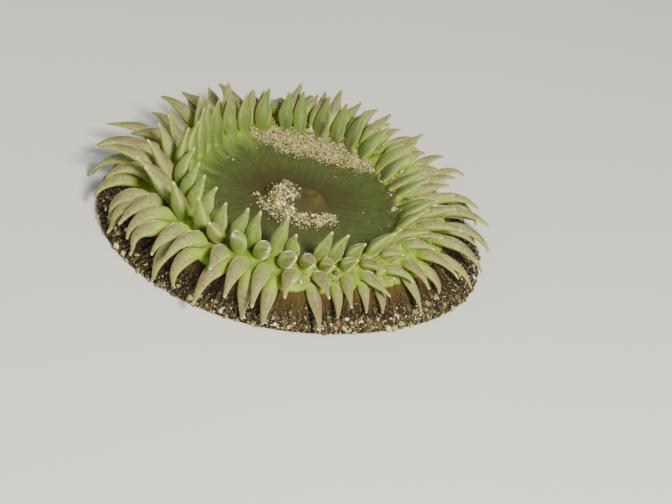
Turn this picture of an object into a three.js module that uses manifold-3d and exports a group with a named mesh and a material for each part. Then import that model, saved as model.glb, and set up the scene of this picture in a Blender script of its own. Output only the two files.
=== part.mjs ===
// A giant green sea anemone, life size, open in still water: a low, spreading column on a flat foot,
// a dished oral disc with a raised mouth, and four whorls of short plump tentacles round its margin.
// Millimetres, +Z up. The origin is the centre of the foot's underside, +X is the animal's right as
// it is seen from its front, and the front faces -Y.
import * as THREE from "three";
import { mergeVertices } from "three/addons/utils/BufferGeometryUtils.js";
import Module from "manifold-3d";

const wasm = await Module();
wasm.setup();
const { Manifold, Mesh: SolidMesh } = wasm;
const { degToRad, lerp, smoothstep } = THREE.MathUtils;

// Driving dimensions. Radii are across the animal; settle() then draws its depth in to an oval.
const FOOT_RADIUS = 97;
const FOOT_HEIGHT = 3.5;
const FOOT_ROUND = 3; // how far the foot's rim draws in under itself
const COLUMN_RADIUS = 95.7; // where the column stands on the foot
const MARGIN_RADIUS = 78;
const MARGIN_HEIGHT = 17.5;
const DISC_RADIUS = 54;
const DISC_CENTRE_HEIGHT = 20;
const DISC_EDGE_HEIGHT = 23.5;
const CREST_HEIGHT = 27;
const LIP_LENGTH = 31;
const LIP_WIDTH = 23;
const LIP_RISE = 5;
const MOUTH_SLIT = { length: 17, width: 1.6, depth: 3 };
const GAP = 0.3; // left between pieces that touch
const CLEARANCE = 0.25; // how much a solid is thickened to cut its neighbours clear of it
const CUT_MARGIN = 4; // how far a cutting wedge runs past the ring that it cuts
const FOOT_SEGMENTS = 36; // facets round the foot and the column
const CROWN_SEGMENTS = 24; // facets round the disc and the margin
const LIP_SEGMENTS = 16;
const SLIT_SEGMENTS = { around: 8, deep: 6 };
const MERGE_DISTANCE = 1e-4;

// The crest of the margin, which bears the tentacles: [radius, height] from the disc outwards.
const CREST = [
  [DISC_RADIUS, DISC_EDGE_HEIGHT],
  [60, CREST_HEIGHT],
  [73, 23.6],
  [MARGIN_RADIUS, 18.8],
];

// The oval, lobed and slightly wavy plan. The foot spreads a little further back than forwards.
const CROWN_DEPTH_SHARE = 0.94;
const FOOT_DEPTH_SHARE = 0.84;
const FOOT_SHIFT = 3;
const LOBES = [
  { count: 3, share: 0.012, start: 0.6 },
  { count: 5, share: 0.008, start: 2.1 },
];
const WAVE = { count: 4, height: 1.2, start: 0.8, still: 0.4 }; // still: the flat share of the disc
// Where the disc's rim is drawn in and the crown is broader, and the radius where that begins.
const DRAWN_IN = [
  { at: 22, within: 48, depth: 6.5 },
  { at: 150, within: 40, depth: 5 },
];
const DRAWN_IN_FROM = 20;

const SECTORS = 12;
const SWEEP = 360 / SECTORS;
// The cut between two sectors steps sideways between the whorls, because they are staggered:
// beyond each radius it runs at this many degrees from the sector's start.
const SEAM = [
  { radius: 60.2, offset: 5 },
  { radius: 66.6, offset: 0 },
  { radius: 72.4, offset: 5 },
];

// The four whorls, from the disc outwards. first is the angle of a sector's first root, and rise
// and tip are the tentacle's angles above the horizon at its two ends. Lengths and angles vary
// round the animal: [mean, more at the back, more on the right, more on both sides]. A tentacle is
// widest at the share plumpAt of its length, and rings are the steps where its solid has corners.
const WHORLS = [
  {
    radius: 57.4,
    perSector: 3,
    first: 5,
    width: 8,
    plumpAt: 0.34,
    rings: [0, 5],
    drift: 0.24,
    length: [20.5, -0.5, 0.5, 0],
    rise: [68, -10, -11, 1],
    tip: [70, -14, -32, -5],
  },
  {
    radius: 63.2,
    perSector: 3,
    first: 10,
    width: 8.4,
    plumpAt: 0.3,
    rings: [0, 5],
    drift: 0.26,
    length: [22, -1.5, 0.5, 0.5],
    rise: [52, -6, -6, -2],
    tip: [26, -2, -28, -6],
  },
  {
    radius: 69.8,
    perSector: 3,
    first: 5,
    width: 8.2,
    plumpAt: 0.22,
    rings: [0, 3, 7],
    drift: 0.2,
    length: [25, -1.5, -0.5, 1.5],
    rise: [32, -4, 0, 2],
    tip: [-32, 14, -18, -8],
  },
  {
    radius: 75,
    perSector: 3,
    first: 10,
    width: 7.8,
    plumpAt: 0.2,
    rings: [0, 3, 7],
    drift: 0.1,
    length: [26, -1, -0.5, 1.5],
    rise: [12, 8, 4, 5],
    tip: [-60, 28, -12, 0],
  },
];
const DRIFT = new THREE.Vector3(0.87, 0.5, 0); // the way the water leans every tentacle
// Stretches of the crown with a habit of their own, centred on an angle and fading out. Values in
// square brackets are for the four whorls.
const SMALLER = { at: 308, within: 30, length: [0.08, 0.3, 0.32, 0.32], width: [0.08, 0.22, 0.28, 0.28] };
const LONGER = { at: 185, within: 40, length: 0.2, width: 0.1 };
const CURLED = { at: 212, within: 32, rise: [0, 0, 12, 18], tip: [0, -10, -55, -62] };
const SLIMMER = { at: 15, within: 60, length: 0.1, width: 0.3 };
const JITTER = { turn: 0.28, radius: 1, rise: 14, tip: 24, side: 17, length: 0.18 };
const STEPS = 12; // along a tentacle's path
const SINK = 1.3; // how far a tentacle's root runs into the margin
const SIDES = 4;
const FACET_SWELL = 1.07; // how far the corners of a four-sided section stand out from the round one
const PLUMP_ROOT = 0.78; // a tentacle's share of its full width at its root
const PLUMP_TIP = 0.16; // and at its tip
const CROWD_ROUNDS = 16;
const CROWD_REACH = 40; // roots further apart than this can't touch
const CROWD_YIELD = 0.5;
const STIFFNESS = 0.08; // how strongly a tentacle that is pushed aside returns to its own path
const FLANK_REACH = 1.2; // from the flank outwards to a tentacle lying on it, in its own radii

const MATERIALS = {
  foot: new THREE.MeshStandardMaterial({ color: 0x5a4a30, roughness: 0.75 }),
  column: new THREE.MeshStandardMaterial({ color: 0x4e4128, roughness: 0.7 }),
  disc: new THREE.MeshStandardMaterial({ color: 0x5e6a2c, roughness: 0.45 }),
  lips: new THREE.MeshStandardMaterial({ color: 0x7a6428, roughness: 0.4 }),
  tentacle: new THREE.MeshStandardMaterial({ color: 0x98a566, roughness: 0.4 }),
};

// A repeatable number from -1 to 1 for a tentacle and one of its properties.
function chance(index, property) {
  const wave = Math.sin(index * 12.9898 + property * 78.233) * 43758.5453;
  return 2 * (wave - Math.floor(wave)) - 1;
}

// A value that varies round the animal.
function around([mean, back, right, sides], turn) {
  return mean + back * Math.sin(turn) + right * Math.cos(turn) + sides * Math.cos(2 * turn);
}

// How near an angle is to the middle of a stretch, from 1 there down to 0 far from it.
function nearness(turn, { at, within }) {
  const away = Math.atan2(Math.sin(turn - degToRad(at)), Math.cos(turn - degToRad(at)));
  return Math.exp(-((away / degToRad(within)) ** 2));
}

// How far a point of the round layout is drawn in where the crown is broader.
function drawnIn(radius, turn) {
  const inside = smoothstep(radius, DRAWN_IN_FROM, DISC_RADIUS);
  const across = (MARGIN_RADIUS - radius) / (MARGIN_RADIUS - DISC_RADIUS);
  let depth = 0;
  for (const stretch of DRAWN_IN)
    depth += stretch.depth * nearness(turn, stretch);
  return depth * inside * THREE.MathUtils.clamp(across, 0, 1);
}

// Moves a point of the round layout to its place on the oval, lobed, wavy animal.
function settle(radius, turn, height) {
  const foot = smoothstep(radius, MARGIN_RADIUS, FOOT_RADIUS);
  let reach = radius - drawnIn(radius, turn);
  for (const { count, share, start } of LOBES)
    reach += radius * share * Math.cos(count * turn + start);
  const lift =
    WAVE.height *
    Math.cos(WAVE.count * turn + WAVE.start) *
    smoothstep(radius, WAVE.still * DISC_RADIUS, DISC_RADIUS) *
    smoothstep(height, MARGIN_HEIGHT, CREST_HEIGHT);
  return new THREE.Vector3(
    reach * Math.cos(turn),
    reach * Math.sin(turn) * lerp(CROWN_DEPTH_SHARE, FOOT_DEPTH_SHARE, foot) + FOOT_SHIFT * foot,
    height + lift,
  );
}

// Applies settle() to every vertex of a geometry made in the round layout.
function settled(geometry) {
  const places = geometry.getAttribute("position");
  for (let i = 0; i < places.count; i++) {
    const x = places.getX(i);
    const y = places.getY(i);
    const point = settle(Math.hypot(x, y), Math.atan2(y, x), places.getZ(i));
    places.setXYZ(i, point.x, point.y, point.z);
  }
  return geometry;
}

// A closed geometry as a solid that can be joined and cut.
function solidOf(geometry) {
  const bare = geometry.clone();
  bare.deleteAttribute("normal");
  bare.deleteAttribute("uv");
  const merged = mergeVertices(bare, MERGE_DISTANCE);
  return new Manifold(
    new SolidMesh({
      numProp: 3,
      vertProperties: new Float32Array(merged.getAttribute("position").array),
      triVerts: new Uint32Array(merged.index.array),
    }),
  );
}

// A solid as a geometry again.
function geometryOf(solid) {
  const mesh = solid.getMesh();
  const geometry = new THREE.BufferGeometry();
  geometry.setAttribute("position", new THREE.BufferAttribute(new Float32Array(mesh.vertProperties), 3));
  geometry.setIndex(new THREE.BufferAttribute(new Uint32Array(mesh.triVerts), 1));
  geometry.computeVertexNormals();
  return geometry;
}

function piece(name, geometry, material) {
  const mesh = new THREE.Mesh(geometry, material);
  mesh.name = name;
  return mesh;
}

// A turned body about +Z from [radius, height] pairs, which run upwards outside and start and end
// on the axis or close on themselves.
function turned(outline, segments) {
  const points = outline.map(([radius, height]) => new THREE.Vector2(radius, height));
  return new THREE.LatheGeometry(points, segments).rotateX(Math.PI / 2);
}

// The foot: the flat pedal disc that the animal grips the ground with.
function foot(grow = 0) {
  const outline = [
    [0, 0],
    [FOOT_RADIUS - FOOT_ROUND + grow, 0],
    [FOOT_RADIUS + grow, 0.45 * FOOT_HEIGHT],
    [COLUMN_RADIUS + grow, FOOT_HEIGHT + grow],
    [0, FOOT_HEIGHT + grow],
  ];
  return settled(turned(outline, FOOT_SEGMENTS));
}

// The column: the low trunk, drawn in from the foot up to the margin.
function column(grow = 0) {
  const base = FOOT_HEIGHT + GAP;
  const top = MARGIN_HEIGHT - GAP;
  const outline = [
    [0, base],
    [COLUMN_RADIUS + grow, base],
    [lerp(MARGIN_RADIUS, COLUMN_RADIUS, 0.5) + grow, lerp(base, top, 0.34)],
    [lerp(MARGIN_RADIUS, COLUMN_RADIUS, 0.14) + grow, lerp(base, top, 0.72)],
    [MARGIN_RADIUS + grow, top + grow],
    [DISC_RADIUS, top + grow],
    [0, top + grow],
  ];
  return settled(turned(outline, FOOT_SEGMENTS));
}

// The oral disc: a shallow dish from its rim down to the flat round the mouth.
function oralDisc(grow = 0) {
  const edge = DISC_RADIUS - GAP + grow;
  const outline = [
    [0, MARGIN_HEIGHT],
    [edge, MARGIN_HEIGHT],
    [edge, DISC_EDGE_HEIGHT + grow],
    [0.84 * edge, lerp(DISC_CENTRE_HEIGHT, DISC_EDGE_HEIGHT, 0.4) + grow],
    [0.56 * edge, DISC_CENTRE_HEIGHT + grow],
    [0, DISC_CENTRE_HEIGHT + grow],
  ];
  return settled(turned(outline, CROWN_SEGMENTS));
}

// The lips: an oval mound with the mouth's closed slit along it.
function lips() {
  const base = DISC_CENTRE_HEIGHT + GAP;
  const outline = [
    [0, base],
    [1, base],
    [0.93, base + 0.45 * LIP_RISE],
    [0.68, base + 0.88 * LIP_RISE],
    [0.3, base + LIP_RISE],
    [0, base + 0.94 * LIP_RISE],
  ];
  const mound = turned(outline, LIP_SEGMENTS).scale(LIP_LENGTH / 2, (LIP_WIDTH / 2) * CROWN_DEPTH_SHARE, 1);
  const slit = new THREE.SphereGeometry(1, SLIT_SEGMENTS.around, SLIT_SEGMENTS.deep);
  slit.scale(MOUTH_SLIT.length / 2, MOUTH_SLIT.width / 2, MOUTH_SLIT.depth);
  slit.translate(0, 0, base + LIP_RISE);
  return geometryOf(solidOf(mound).subtract(solidOf(slit)));
}

// The height of the crest at a radius.
function crestHeight(radius) {
  for (let i = 1; i < CREST.length; i++)
    if (radius <= CREST[i][0]) {
      const [[r0, z0], [r1, z1]] = [CREST[i - 1], CREST[i]];
      return lerp(z0, z1, (radius - r0) / (r1 - r0));
    }
  return CREST.at(-1)[1];
}

// One tentacle's width and free path, from its whorl and its number in it.
function tentacle(whorlIndex, number) {
  const whorl = WHORLS[whorlIndex];
  const index = whorlIndex * 100 + number;
  const spacing = SWEEP / whorl.perSector;
  const turn = degToRad(whorl.first + spacing * (number + JITTER.turn * chance(index, 1)));
  const long = nearness(turn, LONGER);
  const slim = nearness(turn, SLIMMER);
  const small = nearness(turn, SMALLER);
  const shorter = 1 - SMALLER.length[whorlIndex] * small;
  const thinner = 1 - SMALLER.width[whorlIndex] * small;
  const grown = shorter * (1 + LONGER.length * long) * (1 + SLIMMER.length * slim);
  const length = around(whorl.length, turn) * grown * (1 + JITTER.length * chance(index, 2));
  const width = whorl.width * thinner * (1 - LONGER.width * long) * (1 - SLIMMER.width * slim);
  const curled = nearness(turn, CURLED);
  const arch = CURLED.rise[whorlIndex] * curled;
  const curl = CURLED.tip[whorlIndex] * curled;
  const rise = around(whorl.rise, turn) + arch + JITTER.rise * chance(index, 3);
  const tip = around(whorl.tip, turn) + curl + JITTER.tip * chance(index, 4);
  const side = degToRad(JITTER.side * chance(index, 5));
  const radius = whorl.radius + JITTER.radius * chance(index, 6);
  const out = new THREE.Vector3(Math.cos(turn + side), Math.sin(turn + side), 0);
  const heading = (along) => {
    const angle = degToRad(lerp(rise, tip, along));
    return new THREE.Vector3()
      .addScaledVector(out, Math.cos(angle))
      .addScaledVector(DRIFT, whorl.drift * along)
      .setZ(Math.sin(angle))
      .normalize();
  };
  const stride = (length + SINK) / STEPS;
  const places = [settle(radius, turn, crestHeight(radius)).addScaledVector(heading(0), -SINK)];
  for (let i = 0; i < STEPS; i++)
    places.push(places[i].clone().addScaledVector(heading((i + 0.5) / STEPS), stride));
  return { places, out, width, stride, plumpAt: whorl.plumpAt, rings: whorl.rings };
}

// A tentacle's share of its full width at a share of its length.
function plumpness(share, plumpAt) {
  const swell = PLUMP_ROOT + (1 - PLUMP_ROOT) * smoothstep(share, 0, plumpAt);
  const taper = 1 - (1 - PLUMP_TIP) * smoothstep(share, plumpAt, 1);
  return swell * taper;
}

// How far out the column's flank stands at a height.
function flankRadius(height) {
  const share = (height - FOOT_HEIGHT) / (MARGIN_HEIGHT - FOOT_HEIGHT);
  return lerp(COLUMN_RADIUS, MARGIN_RADIUS, THREE.MathUtils.clamp(share, 0, 1));
}

// How far every step of every tentacle is pushed by the neighbours that it would run into.
function crowdMoves(tentacles, radii) {
  const moves = tentacles.map(({ places }) => places.map(() => new THREE.Vector3()));
  for (let a = 0; a < tentacles.length; a++)
    for (let b = a + 1; b < tentacles.length; b++) {
      const reach = tentacles[a].places[0].distanceTo(tentacles[b].places[0]);
      if (reach > CROWD_REACH) continue;
      for (let i = 1; i <= STEPS; i++)
        for (let j = 1; j <= STEPS; j++) {
          const apart = tentacles[a].places[i].clone().sub(tentacles[b].places[j]);
          const overlap = radii[a][i] + radii[b][j] + GAP - apart.length();
          if (overlap <= 0) continue;
          apart.setLength(overlap / 2);
          moves[a][i].add(apart);
          moves[b][j].sub(apart);
        }
    }
  return moves;
}

// Moves a point that a tentacle of this radius passes through off the column's flank and the ground.
function keepClear(point, radius) {
  const flank = settle(flankRadius(point.z), Math.atan2(point.y, point.x), point.z);
  const shortest = Math.hypot(flank.x, flank.y) + FLANK_REACH * radius;
  const away = Math.hypot(point.x, point.y);
  if (point.z < MARGIN_HEIGHT && away < shortest) {
    point.x *= shortest / away;
    point.y *= shortest / away;
  }
  point.z = Math.max(point.z, radius + GAP);
}

// Lets the crowded tentacles push each other aside, a little in each round, at their own length.
function settleCrowd(tentacles) {
  const radii = tentacles.map(({ width, plumpAt }) =>
    Array.from({ length: STEPS + 1 }, (_, i) => (width / 2) * plumpness(i / STEPS, plumpAt)),
  );
  const free = tentacles.map(({ places }) => places);
  for (let round = 0; round < CROWD_ROUNDS; round++) {
    const moves = crowdMoves(tentacles, radii);
    tentacles.forEach((one, t) => {
      const bent = [one.places[0]];
      for (let i = 1; i <= STEPS; i++) {
        const pushed = one.places[i].clone().addScaledVector(moves[t][i], CROWD_YIELD);
        pushed.lerp(free[t][i], STIFFNESS);
        keepClear(pushed, radii[t][i]);
        const step = pushed.sub(one.places[i - 1]).setLength(one.stride);
        bent.push(bent[i - 1].clone().add(step));
      }
      one.places = bent;
    });
  }
}

// The tentacle's solid: a turned spindle bent along its path. grow thickens it all over.
function tentacleSolid({ places, out, width, plumpAt, rings }, grow = 0) {
  const wide = (width / 2) * FACET_SWELL;
  const outline = [new THREE.Vector2(0, 0)];
  for (const step of rings)
    outline.push(new THREE.Vector2(wide * plumpness(step / STEPS, plumpAt) + grow, step));
  outline.push(new THREE.Vector2(0, STEPS));
  const geometry = new THREE.LatheGeometry(outline, SIDES);
  const across = new THREE.Vector3(-out.y, out.x, 0);
  const points = geometry.getAttribute("position");
  for (let i = 0; i < points.count; i++) {
    const step = Math.round(points.getY(i));
    const before = places[Math.max(step - 1, 0)];
    const along = places[Math.min(step + 1, STEPS)].clone().sub(before).normalize();
    const flank = across.clone().addScaledVector(along, -across.dot(along)).normalize();
    const back = flank.clone().cross(along);
    const point = places[step]
      .clone()
      .addScaledVector(flank, points.getX(i))
      .addScaledVector(back, points.getZ(i))
      .addScaledVector(along, step === STEPS ? grow : 0);
    points.setXYZ(i, point.x, point.y, point.z);
  }
  return solidOf(geometry);
}

// One end of a sector in plan, from inside the ring outwards. side is 1 where the sector starts
// and -1 where it ends.
function seam(degrees, side, grow) {
  const back = side * (GAP / 2 - grow);
  const at = (radius, offset) => {
    const turn = degToRad(degrees + offset) + back / radius;
    return new THREE.Vector2(radius * Math.cos(turn), radius * Math.sin(turn));
  };
  const corners = [at(DISC_RADIUS - CUT_MARGIN, 0)];
  let current = 0;
  for (const { radius, offset } of SEAM) {
    const edge = radius - Math.sign(offset - current) * back;
    corners.push(at(edge, current), at(edge, offset));
    current = offset;
  }
  corners.push(at(MARGIN_RADIUS + CUT_MARGIN, current));
  return corners;
}

// The part of the margin that a sector's tentacles grow from. grow thickens it all over.
function strip(sector, grow = 0) {
  const crest = CREST.map(([radius, height]) => [radius, height + grow]);
  crest[0][0] -= grow;
  crest.at(-1)[0] += grow;
  const section = [
    [DISC_RADIUS - grow, MARGIN_HEIGHT],
    [MARGIN_RADIUS + grow, MARGIN_HEIGHT],
    ...crest.reverse(),
    [DISC_RADIUS - grow, MARGIN_HEIGHT],
  ];
  const start = sector * SWEEP;
  const middle = degToRad(start + SWEEP / 2);
  const corners = [
    ...seam(start, 1, grow),
    new THREE.Vector2(Math.cos(middle), Math.sin(middle)).multiplyScalar(MARGIN_RADIUS + 2 * CUT_MARGIN),
    ...seam(start + SWEEP, -1, grow).reverse(),
  ];
  const wedge = new THREE.ExtrudeGeometry(new THREE.Shape(corners), {
    depth: 2 * CREST_HEIGHT,
    bevelEnabled: false,
  });
  const ring = solidOf(turned(section, CROWN_SEGMENTS));
  return solidOf(settled(geometryOf(ring.intersect(solidOf(wedge)))));
}

// The largest body of a solid, without any crumb that a cut has parted from it.
function wholeOf(solid) {
  return solid.decompose().sort((a, b) => b.volume() - a.volume())[0];
}

// The crown of tentacles in sectors, each with the margin that it grows from. A sector gives way
// where a piece that comes before it touches it.
function crown(group) {
  const sectors = Array.from({ length: SECTORS }, (_, sector) =>
    WHORLS.flatMap(({ perSector }, whorl) =>
      Array.from({ length: perSector }, (_, i) => tentacle(whorl, sector * perSector + i)),
    ),
  );
  settleCrowd(sectors.flat());
  const clear = [foot, column, oralDisc].map((shape) => solidOf(shape(CLEARANCE)));
  sectors.forEach((tentacles, sector) => {
    let solid = strip(sector);
    for (const one of tentacles) solid = solid.add(tentacleSolid(one));
    for (const other of clear) solid = solid.subtract(other);
    clear.push(strip(sector, CLEARANCE));
    for (const one of tentacles) clear.push(tentacleSolid(one, GAP));
    const name = `tentacles_${String(sector + 1).padStart(2, "0")}`;
    group.add(piece(name, geometryOf(wholeOf(solid)), MATERIALS.tentacle));
  });
}

const anemone = new THREE.Group();
anemone.add(piece("foot", foot(), MATERIALS.foot));
anemone.add(piece("column", column(), MATERIALS.column));
anemone.add(piece("oral_disc", oralDisc(), MATERIALS.disc));
anemone.add(piece("lips", lips(), MATERIALS.lips));
crown(anemone);

export default anemone;
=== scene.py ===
# %% [markdown]
# # A giant green sea anemone, life size
#
# This lesson makes a museum model of an open sea anemone: a low brown trunk that is stuck over with
# shell grit, a dished olive disc with the mouth in its middle, and four whorls of plump tentacles
# round the edge. The flesh is one unbroken skin, because a living anemone has no joins. The warts,
# the grit and the sand that the animal holds are separate pieces that sit on that skin.

# %% Load the fixed frame
from math import atan2, cos, floor, hypot, pi, radians, sin

import bmesh
import bpy
import mathutils
import numpy as np
from mathutils import Matrix, Vector
from mathutils.bvhtree import BVHTree


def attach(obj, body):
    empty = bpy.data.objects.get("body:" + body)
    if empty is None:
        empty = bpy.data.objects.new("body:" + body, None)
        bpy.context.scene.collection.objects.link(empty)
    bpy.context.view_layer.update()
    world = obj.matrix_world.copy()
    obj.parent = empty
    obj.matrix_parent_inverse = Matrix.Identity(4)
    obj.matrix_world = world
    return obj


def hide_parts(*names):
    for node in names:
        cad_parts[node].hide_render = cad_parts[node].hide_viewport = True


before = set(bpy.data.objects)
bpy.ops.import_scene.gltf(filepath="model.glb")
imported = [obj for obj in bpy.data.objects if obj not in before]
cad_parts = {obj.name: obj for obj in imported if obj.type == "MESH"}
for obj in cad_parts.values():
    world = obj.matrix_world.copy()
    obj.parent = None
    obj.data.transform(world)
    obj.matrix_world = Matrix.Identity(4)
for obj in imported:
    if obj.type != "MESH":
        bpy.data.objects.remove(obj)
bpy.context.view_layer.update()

mm = 0.001

# %% [markdown]
# ## Camera
# The eye looks down on the animal from the front, 37 degrees above the ground, from nearly a metre
# away, which is how one looks into a tide pool. The view is rolled a little clockwise. A long lens
# keeps the round crown from looking stretched. The camera is first pointed straight at the origin,
# and then turned a little, so that the origin is drawn left of the middle and above it.

# %% Camera
VIEW_WIDTH = 672
VIEW_HEIGHT = 504
ORIGIN_PIXEL = (288, 231)
CAMERA_HEIGHT_ANGLE = radians(37)
CAMERA_ROLL = radians(12)
CAMERA_DISTANCE = 0.95
CAMERA_LENS = 101.77

camera_data = bpy.data.cameras.new("camera")
camera_data.sensor_width = 36
camera_data.sensor_fit = "HORIZONTAL"
camera_data.lens = CAMERA_LENS
camera_data.clip_start = 0.01
camera = bpy.data.objects.new("camera", camera_data)
bpy.context.scene.collection.objects.link(camera)

pixels_ahead = VIEW_WIDTH * CAMERA_LENS / camera_data.sensor_width
origin_ray = Vector((
    ORIGIN_PIXEL[0] - VIEW_WIDTH / 2,
    VIEW_HEIGHT / 2 - ORIGIN_PIXEL[1],
    -pixels_ahead,
))
facing = Matrix.Rotation(pi / 2 - CAMERA_HEIGHT_ANGLE, 3, "X") @ Matrix.Rotation(CAMERA_ROLL, 3, "Z")
aim = facing @ origin_ray.rotation_difference(Vector((0, 0, -1))).to_matrix()
camera.matrix_world = aim.to_4x4()
camera.location = CAMERA_DISTANCE * Vector((0, -cos(CAMERA_HEIGHT_ANGLE), sin(CAMERA_HEIGHT_ANGLE)))
bpy.context.scene.camera = camera
print("camera at", [round(value, 3) for value in camera.location])

# %% [markdown]
# ## Floor and light
# The model stands on a plain pale floor, the sort of sheet that a studio rolls out. One warm lamp
# stands high in front and a little to the right, as the sun does over a tide pool. A wide cool lamp
# on the left fills the shadows, and a pale surround lets wet skin mirror something soft.

# %% Floor and light
FLOOR_SIZE = 6


def deselect_all():
    """Leaves nothing selected and nothing in edit mode."""
    if bpy.context.object and bpy.context.object.mode != "OBJECT":
        bpy.ops.object.mode_set(mode="OBJECT")
    bpy.ops.object.select_all(action="DESELECT")


def new_piece(name):
    """Names the primitive that was just added."""
    piece = bpy.context.object
    piece.name = name
    piece.data.name = name
    return piece


def lamp(name, place, size, power, colour):
    """A square lamp that faces the origin."""
    data = bpy.data.lights.new(name, "AREA")
    data.size = size
    data.energy = power
    data.color = colour
    light = bpy.data.objects.new(name, data)
    light.location = place
    light.rotation_euler = (-Vector(place)).to_track_quat("-Z", "Y").to_euler()
    bpy.context.scene.collection.objects.link(light)


deselect_all()
bpy.ops.mesh.primitive_plane_add(size=FLOOR_SIZE)
floor_sheet = new_piece("floor")

# Each lamp's place and size in metres, its power in watts and its colour.
lamp("sun_lamp", (0.42, -0.86, 0.98), 0.25, 39, (1.0, 0.96, 0.84))
lamp("fill_lamp", (-1.1, -0.3, 0.9), 1.2, 4, (0.92, 0.96, 1.0))

SURROUND_COLOUR = (0.94, 0.97, 1.0, 1)
SURROUND_STRENGTH = 0.32
surround = bpy.data.worlds.new("surround")
surround.use_nodes = True
surround.node_tree.nodes["Background"].inputs["Color"].default_value = SURROUND_COLOUR
surround.node_tree.nodes["Background"].inputs["Strength"].default_value = SURROUND_STRENGTH
bpy.context.scene.world = surround

# %% [markdown]
# ## The plan of the animal
# The anemone is nearly round, but not quite: it is a little shallower than it is wide, its edge has
# soft lobes, its rim rises and falls slightly, and in two places the rim of the disc is drawn in. It
# is easiest to model it round, and then to move every point to its place on the real plan. That is
# what settle does. Sizes are the same as those of the solid model, so that the skin lies where the
# solids are.

# %% The plan of the animal
FOOT_RADIUS = 97 * mm
FOOT_HEIGHT = 3.5 * mm
COLUMN_RADIUS = 95.7 * mm
MARGIN_RADIUS = 78 * mm
MARGIN_HEIGHT = 17.5 * mm
DISC_RADIUS = 54 * mm
DISC_EDGE_HEIGHT = 23.5 * mm
CREST_HEIGHT = 27 * mm
# The swollen margin from the disc outwards: radius and height.
CREST = (
    (DISC_RADIUS, DISC_EDGE_HEIGHT), (60 * mm, CREST_HEIGHT), (73 * mm, 23.6 * mm),
    (MARGIN_RADIUS, 18.8 * mm),
)

# How deep the crown and the foot are, as shares of their width, and how far back the foot lies.
CROWN_DEPTH_SHARE = 0.94
FOOT_DEPTH_SHARE = 0.84
FOOT_SHIFT = 3 * mm
# The lobes of the edge: how many go round, their height as a share of the radius, and their start.
LOBES = ((3, 0.012, 0.6), (5, 0.008, 2.1))
# The rim rises and falls this often and this far, and the disc is still out to a share of its radius.
WAVE_COUNT = 4
WAVE_HEIGHT = 1.2 * mm
WAVE_START = 0.8
STILL_SHARE = 0.4
# In two places the disc's rim is drawn in and the crown is broader: the angle of the middle, how
# far round it reaches, both in degrees, and how deep it is. It begins at a radius of the disc.
DRAWN_IN = ((22, 48, 6.5 * mm), (150, 40, 5 * mm))
DRAWN_IN_FROM = 20 * mm


def smooth(low, high, value):
    """Runs smoothly from 0 at low to 1 at high."""
    share = np.clip((value - low) / (high - low), 0, 1)
    return share * share * (3 - 2 * share)


def blend(start, end, share):
    """A share of the way from start to end."""
    return start + (end - start) * share


def nearness(turn, at, within):
    """How near an angle is to the middle of a stretch, from 1 there down to 0 far from it."""
    away = np.arctan2(np.sin(turn - radians(at)), np.cos(turn - radians(at)))
    return np.exp(-((away / radians(within)) ** 2))


def drawn_in(radius, turn):
    """How far a point of the round layout is drawn in where the crown is broader."""
    inside = smooth(DRAWN_IN_FROM, DISC_RADIUS, radius)
    outside = np.clip((MARGIN_RADIUS - radius) / (MARGIN_RADIUS - DISC_RADIUS), 0, 1)
    depth = sum(depth * nearness(turn, at, within) for at, within, depth in DRAWN_IN)
    return depth * inside * outside


def settle(radius, turn, height):
    """The place on the oval, lobed, wavy animal of points of the round layout, one row for each."""
    radius, turn, height = np.broadcast_arrays(np.asarray(radius, float), turn, height)
    foot = smooth(MARGIN_RADIUS, FOOT_RADIUS, radius)
    reach = radius - drawn_in(radius, turn)
    for count, share, start in LOBES:
        reach += radius * share * np.cos(count * turn + start)
    wave = WAVE_HEIGHT * np.cos(WAVE_COUNT * turn + WAVE_START)
    wave = wave * smooth(STILL_SHARE * DISC_RADIUS, DISC_RADIUS, radius)
    wave = wave * smooth(MARGIN_HEIGHT, CREST_HEIGHT, height)
    depth = blend(CROWN_DEPTH_SHARE, FOOT_DEPTH_SHARE, foot)
    return np.stack(
        (reach * np.cos(turn), reach * np.sin(turn) * depth + FOOT_SHIFT * foot, height + wave), axis=-1
    )


def crest_height(radius):
    """The height at a radius of the swollen margin, which bears the tentacles."""
    return float(np.interp(radius, *zip(*CREST)))


edge = settle(MARGIN_RADIUS, np.linspace(0, 2 * pi, 90), 0)
print("margin, mm across and deep:", np.round(np.ptp(edge, axis=0) / mm, 1)[:2])

# %% [markdown]
# ## How the tentacles stand
# There are four whorls of 36 tentacles, set like the scales of a fir cone: each whorl stands in the
# gaps of the one before. The inner ones stand up, the outer ones arch over and hang down the
# trunk, and slow water leans them all to one side. Each tentacle is a line of thirteen points to
# start with. A repeatable chance gives every one its own length, slant and curl.

# %% How the tentacles stand
COLUMNS = 36
SPACING = 2 * pi / COLUMNS
# Of each whorl: its radius, where it starts, how wide its tentacles are and at what share of their
# length they are widest, and how much the water leans them.
# Length, in mm, rise and tip change round the animal: mean, more at the back, on the right, on both
# sides. Rise and tip are the angles above the horizon at a tentacle's two ends, in degrees.
WHORLS = (
    dict(radius=57.4 * mm, first=0.5, width=8.0 * mm, plump_at=0.34, drift=0.24,
         length=(20.5, -0.5, 0.5, 0), rise=(68, -10, -11, 1), tip=(70, -14, -32, -5)),
    dict(radius=63.2 * mm, first=1.0, width=8.4 * mm, plump_at=0.30, drift=0.26,
         length=(22, -1.5, 0.5, 0.5), rise=(52, -6, -6, -2), tip=(26, -2, -28, -6)),
    dict(radius=69.8 * mm, first=0.5, width=8.2 * mm, plump_at=0.22, drift=0.20,
         length=(25, -1.5, -0.5, 1.5), rise=(32, -4, 0, 2), tip=(-32, 14, -18, -8)),
    dict(radius=75.0 * mm, first=1.0, width=7.8 * mm, plump_at=0.20, drift=0.10,
         length=(26, -1, -0.5, 1.5), rise=(12, 8, 4, 5), tip=(-60, 28, -12, 0)),
)
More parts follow.
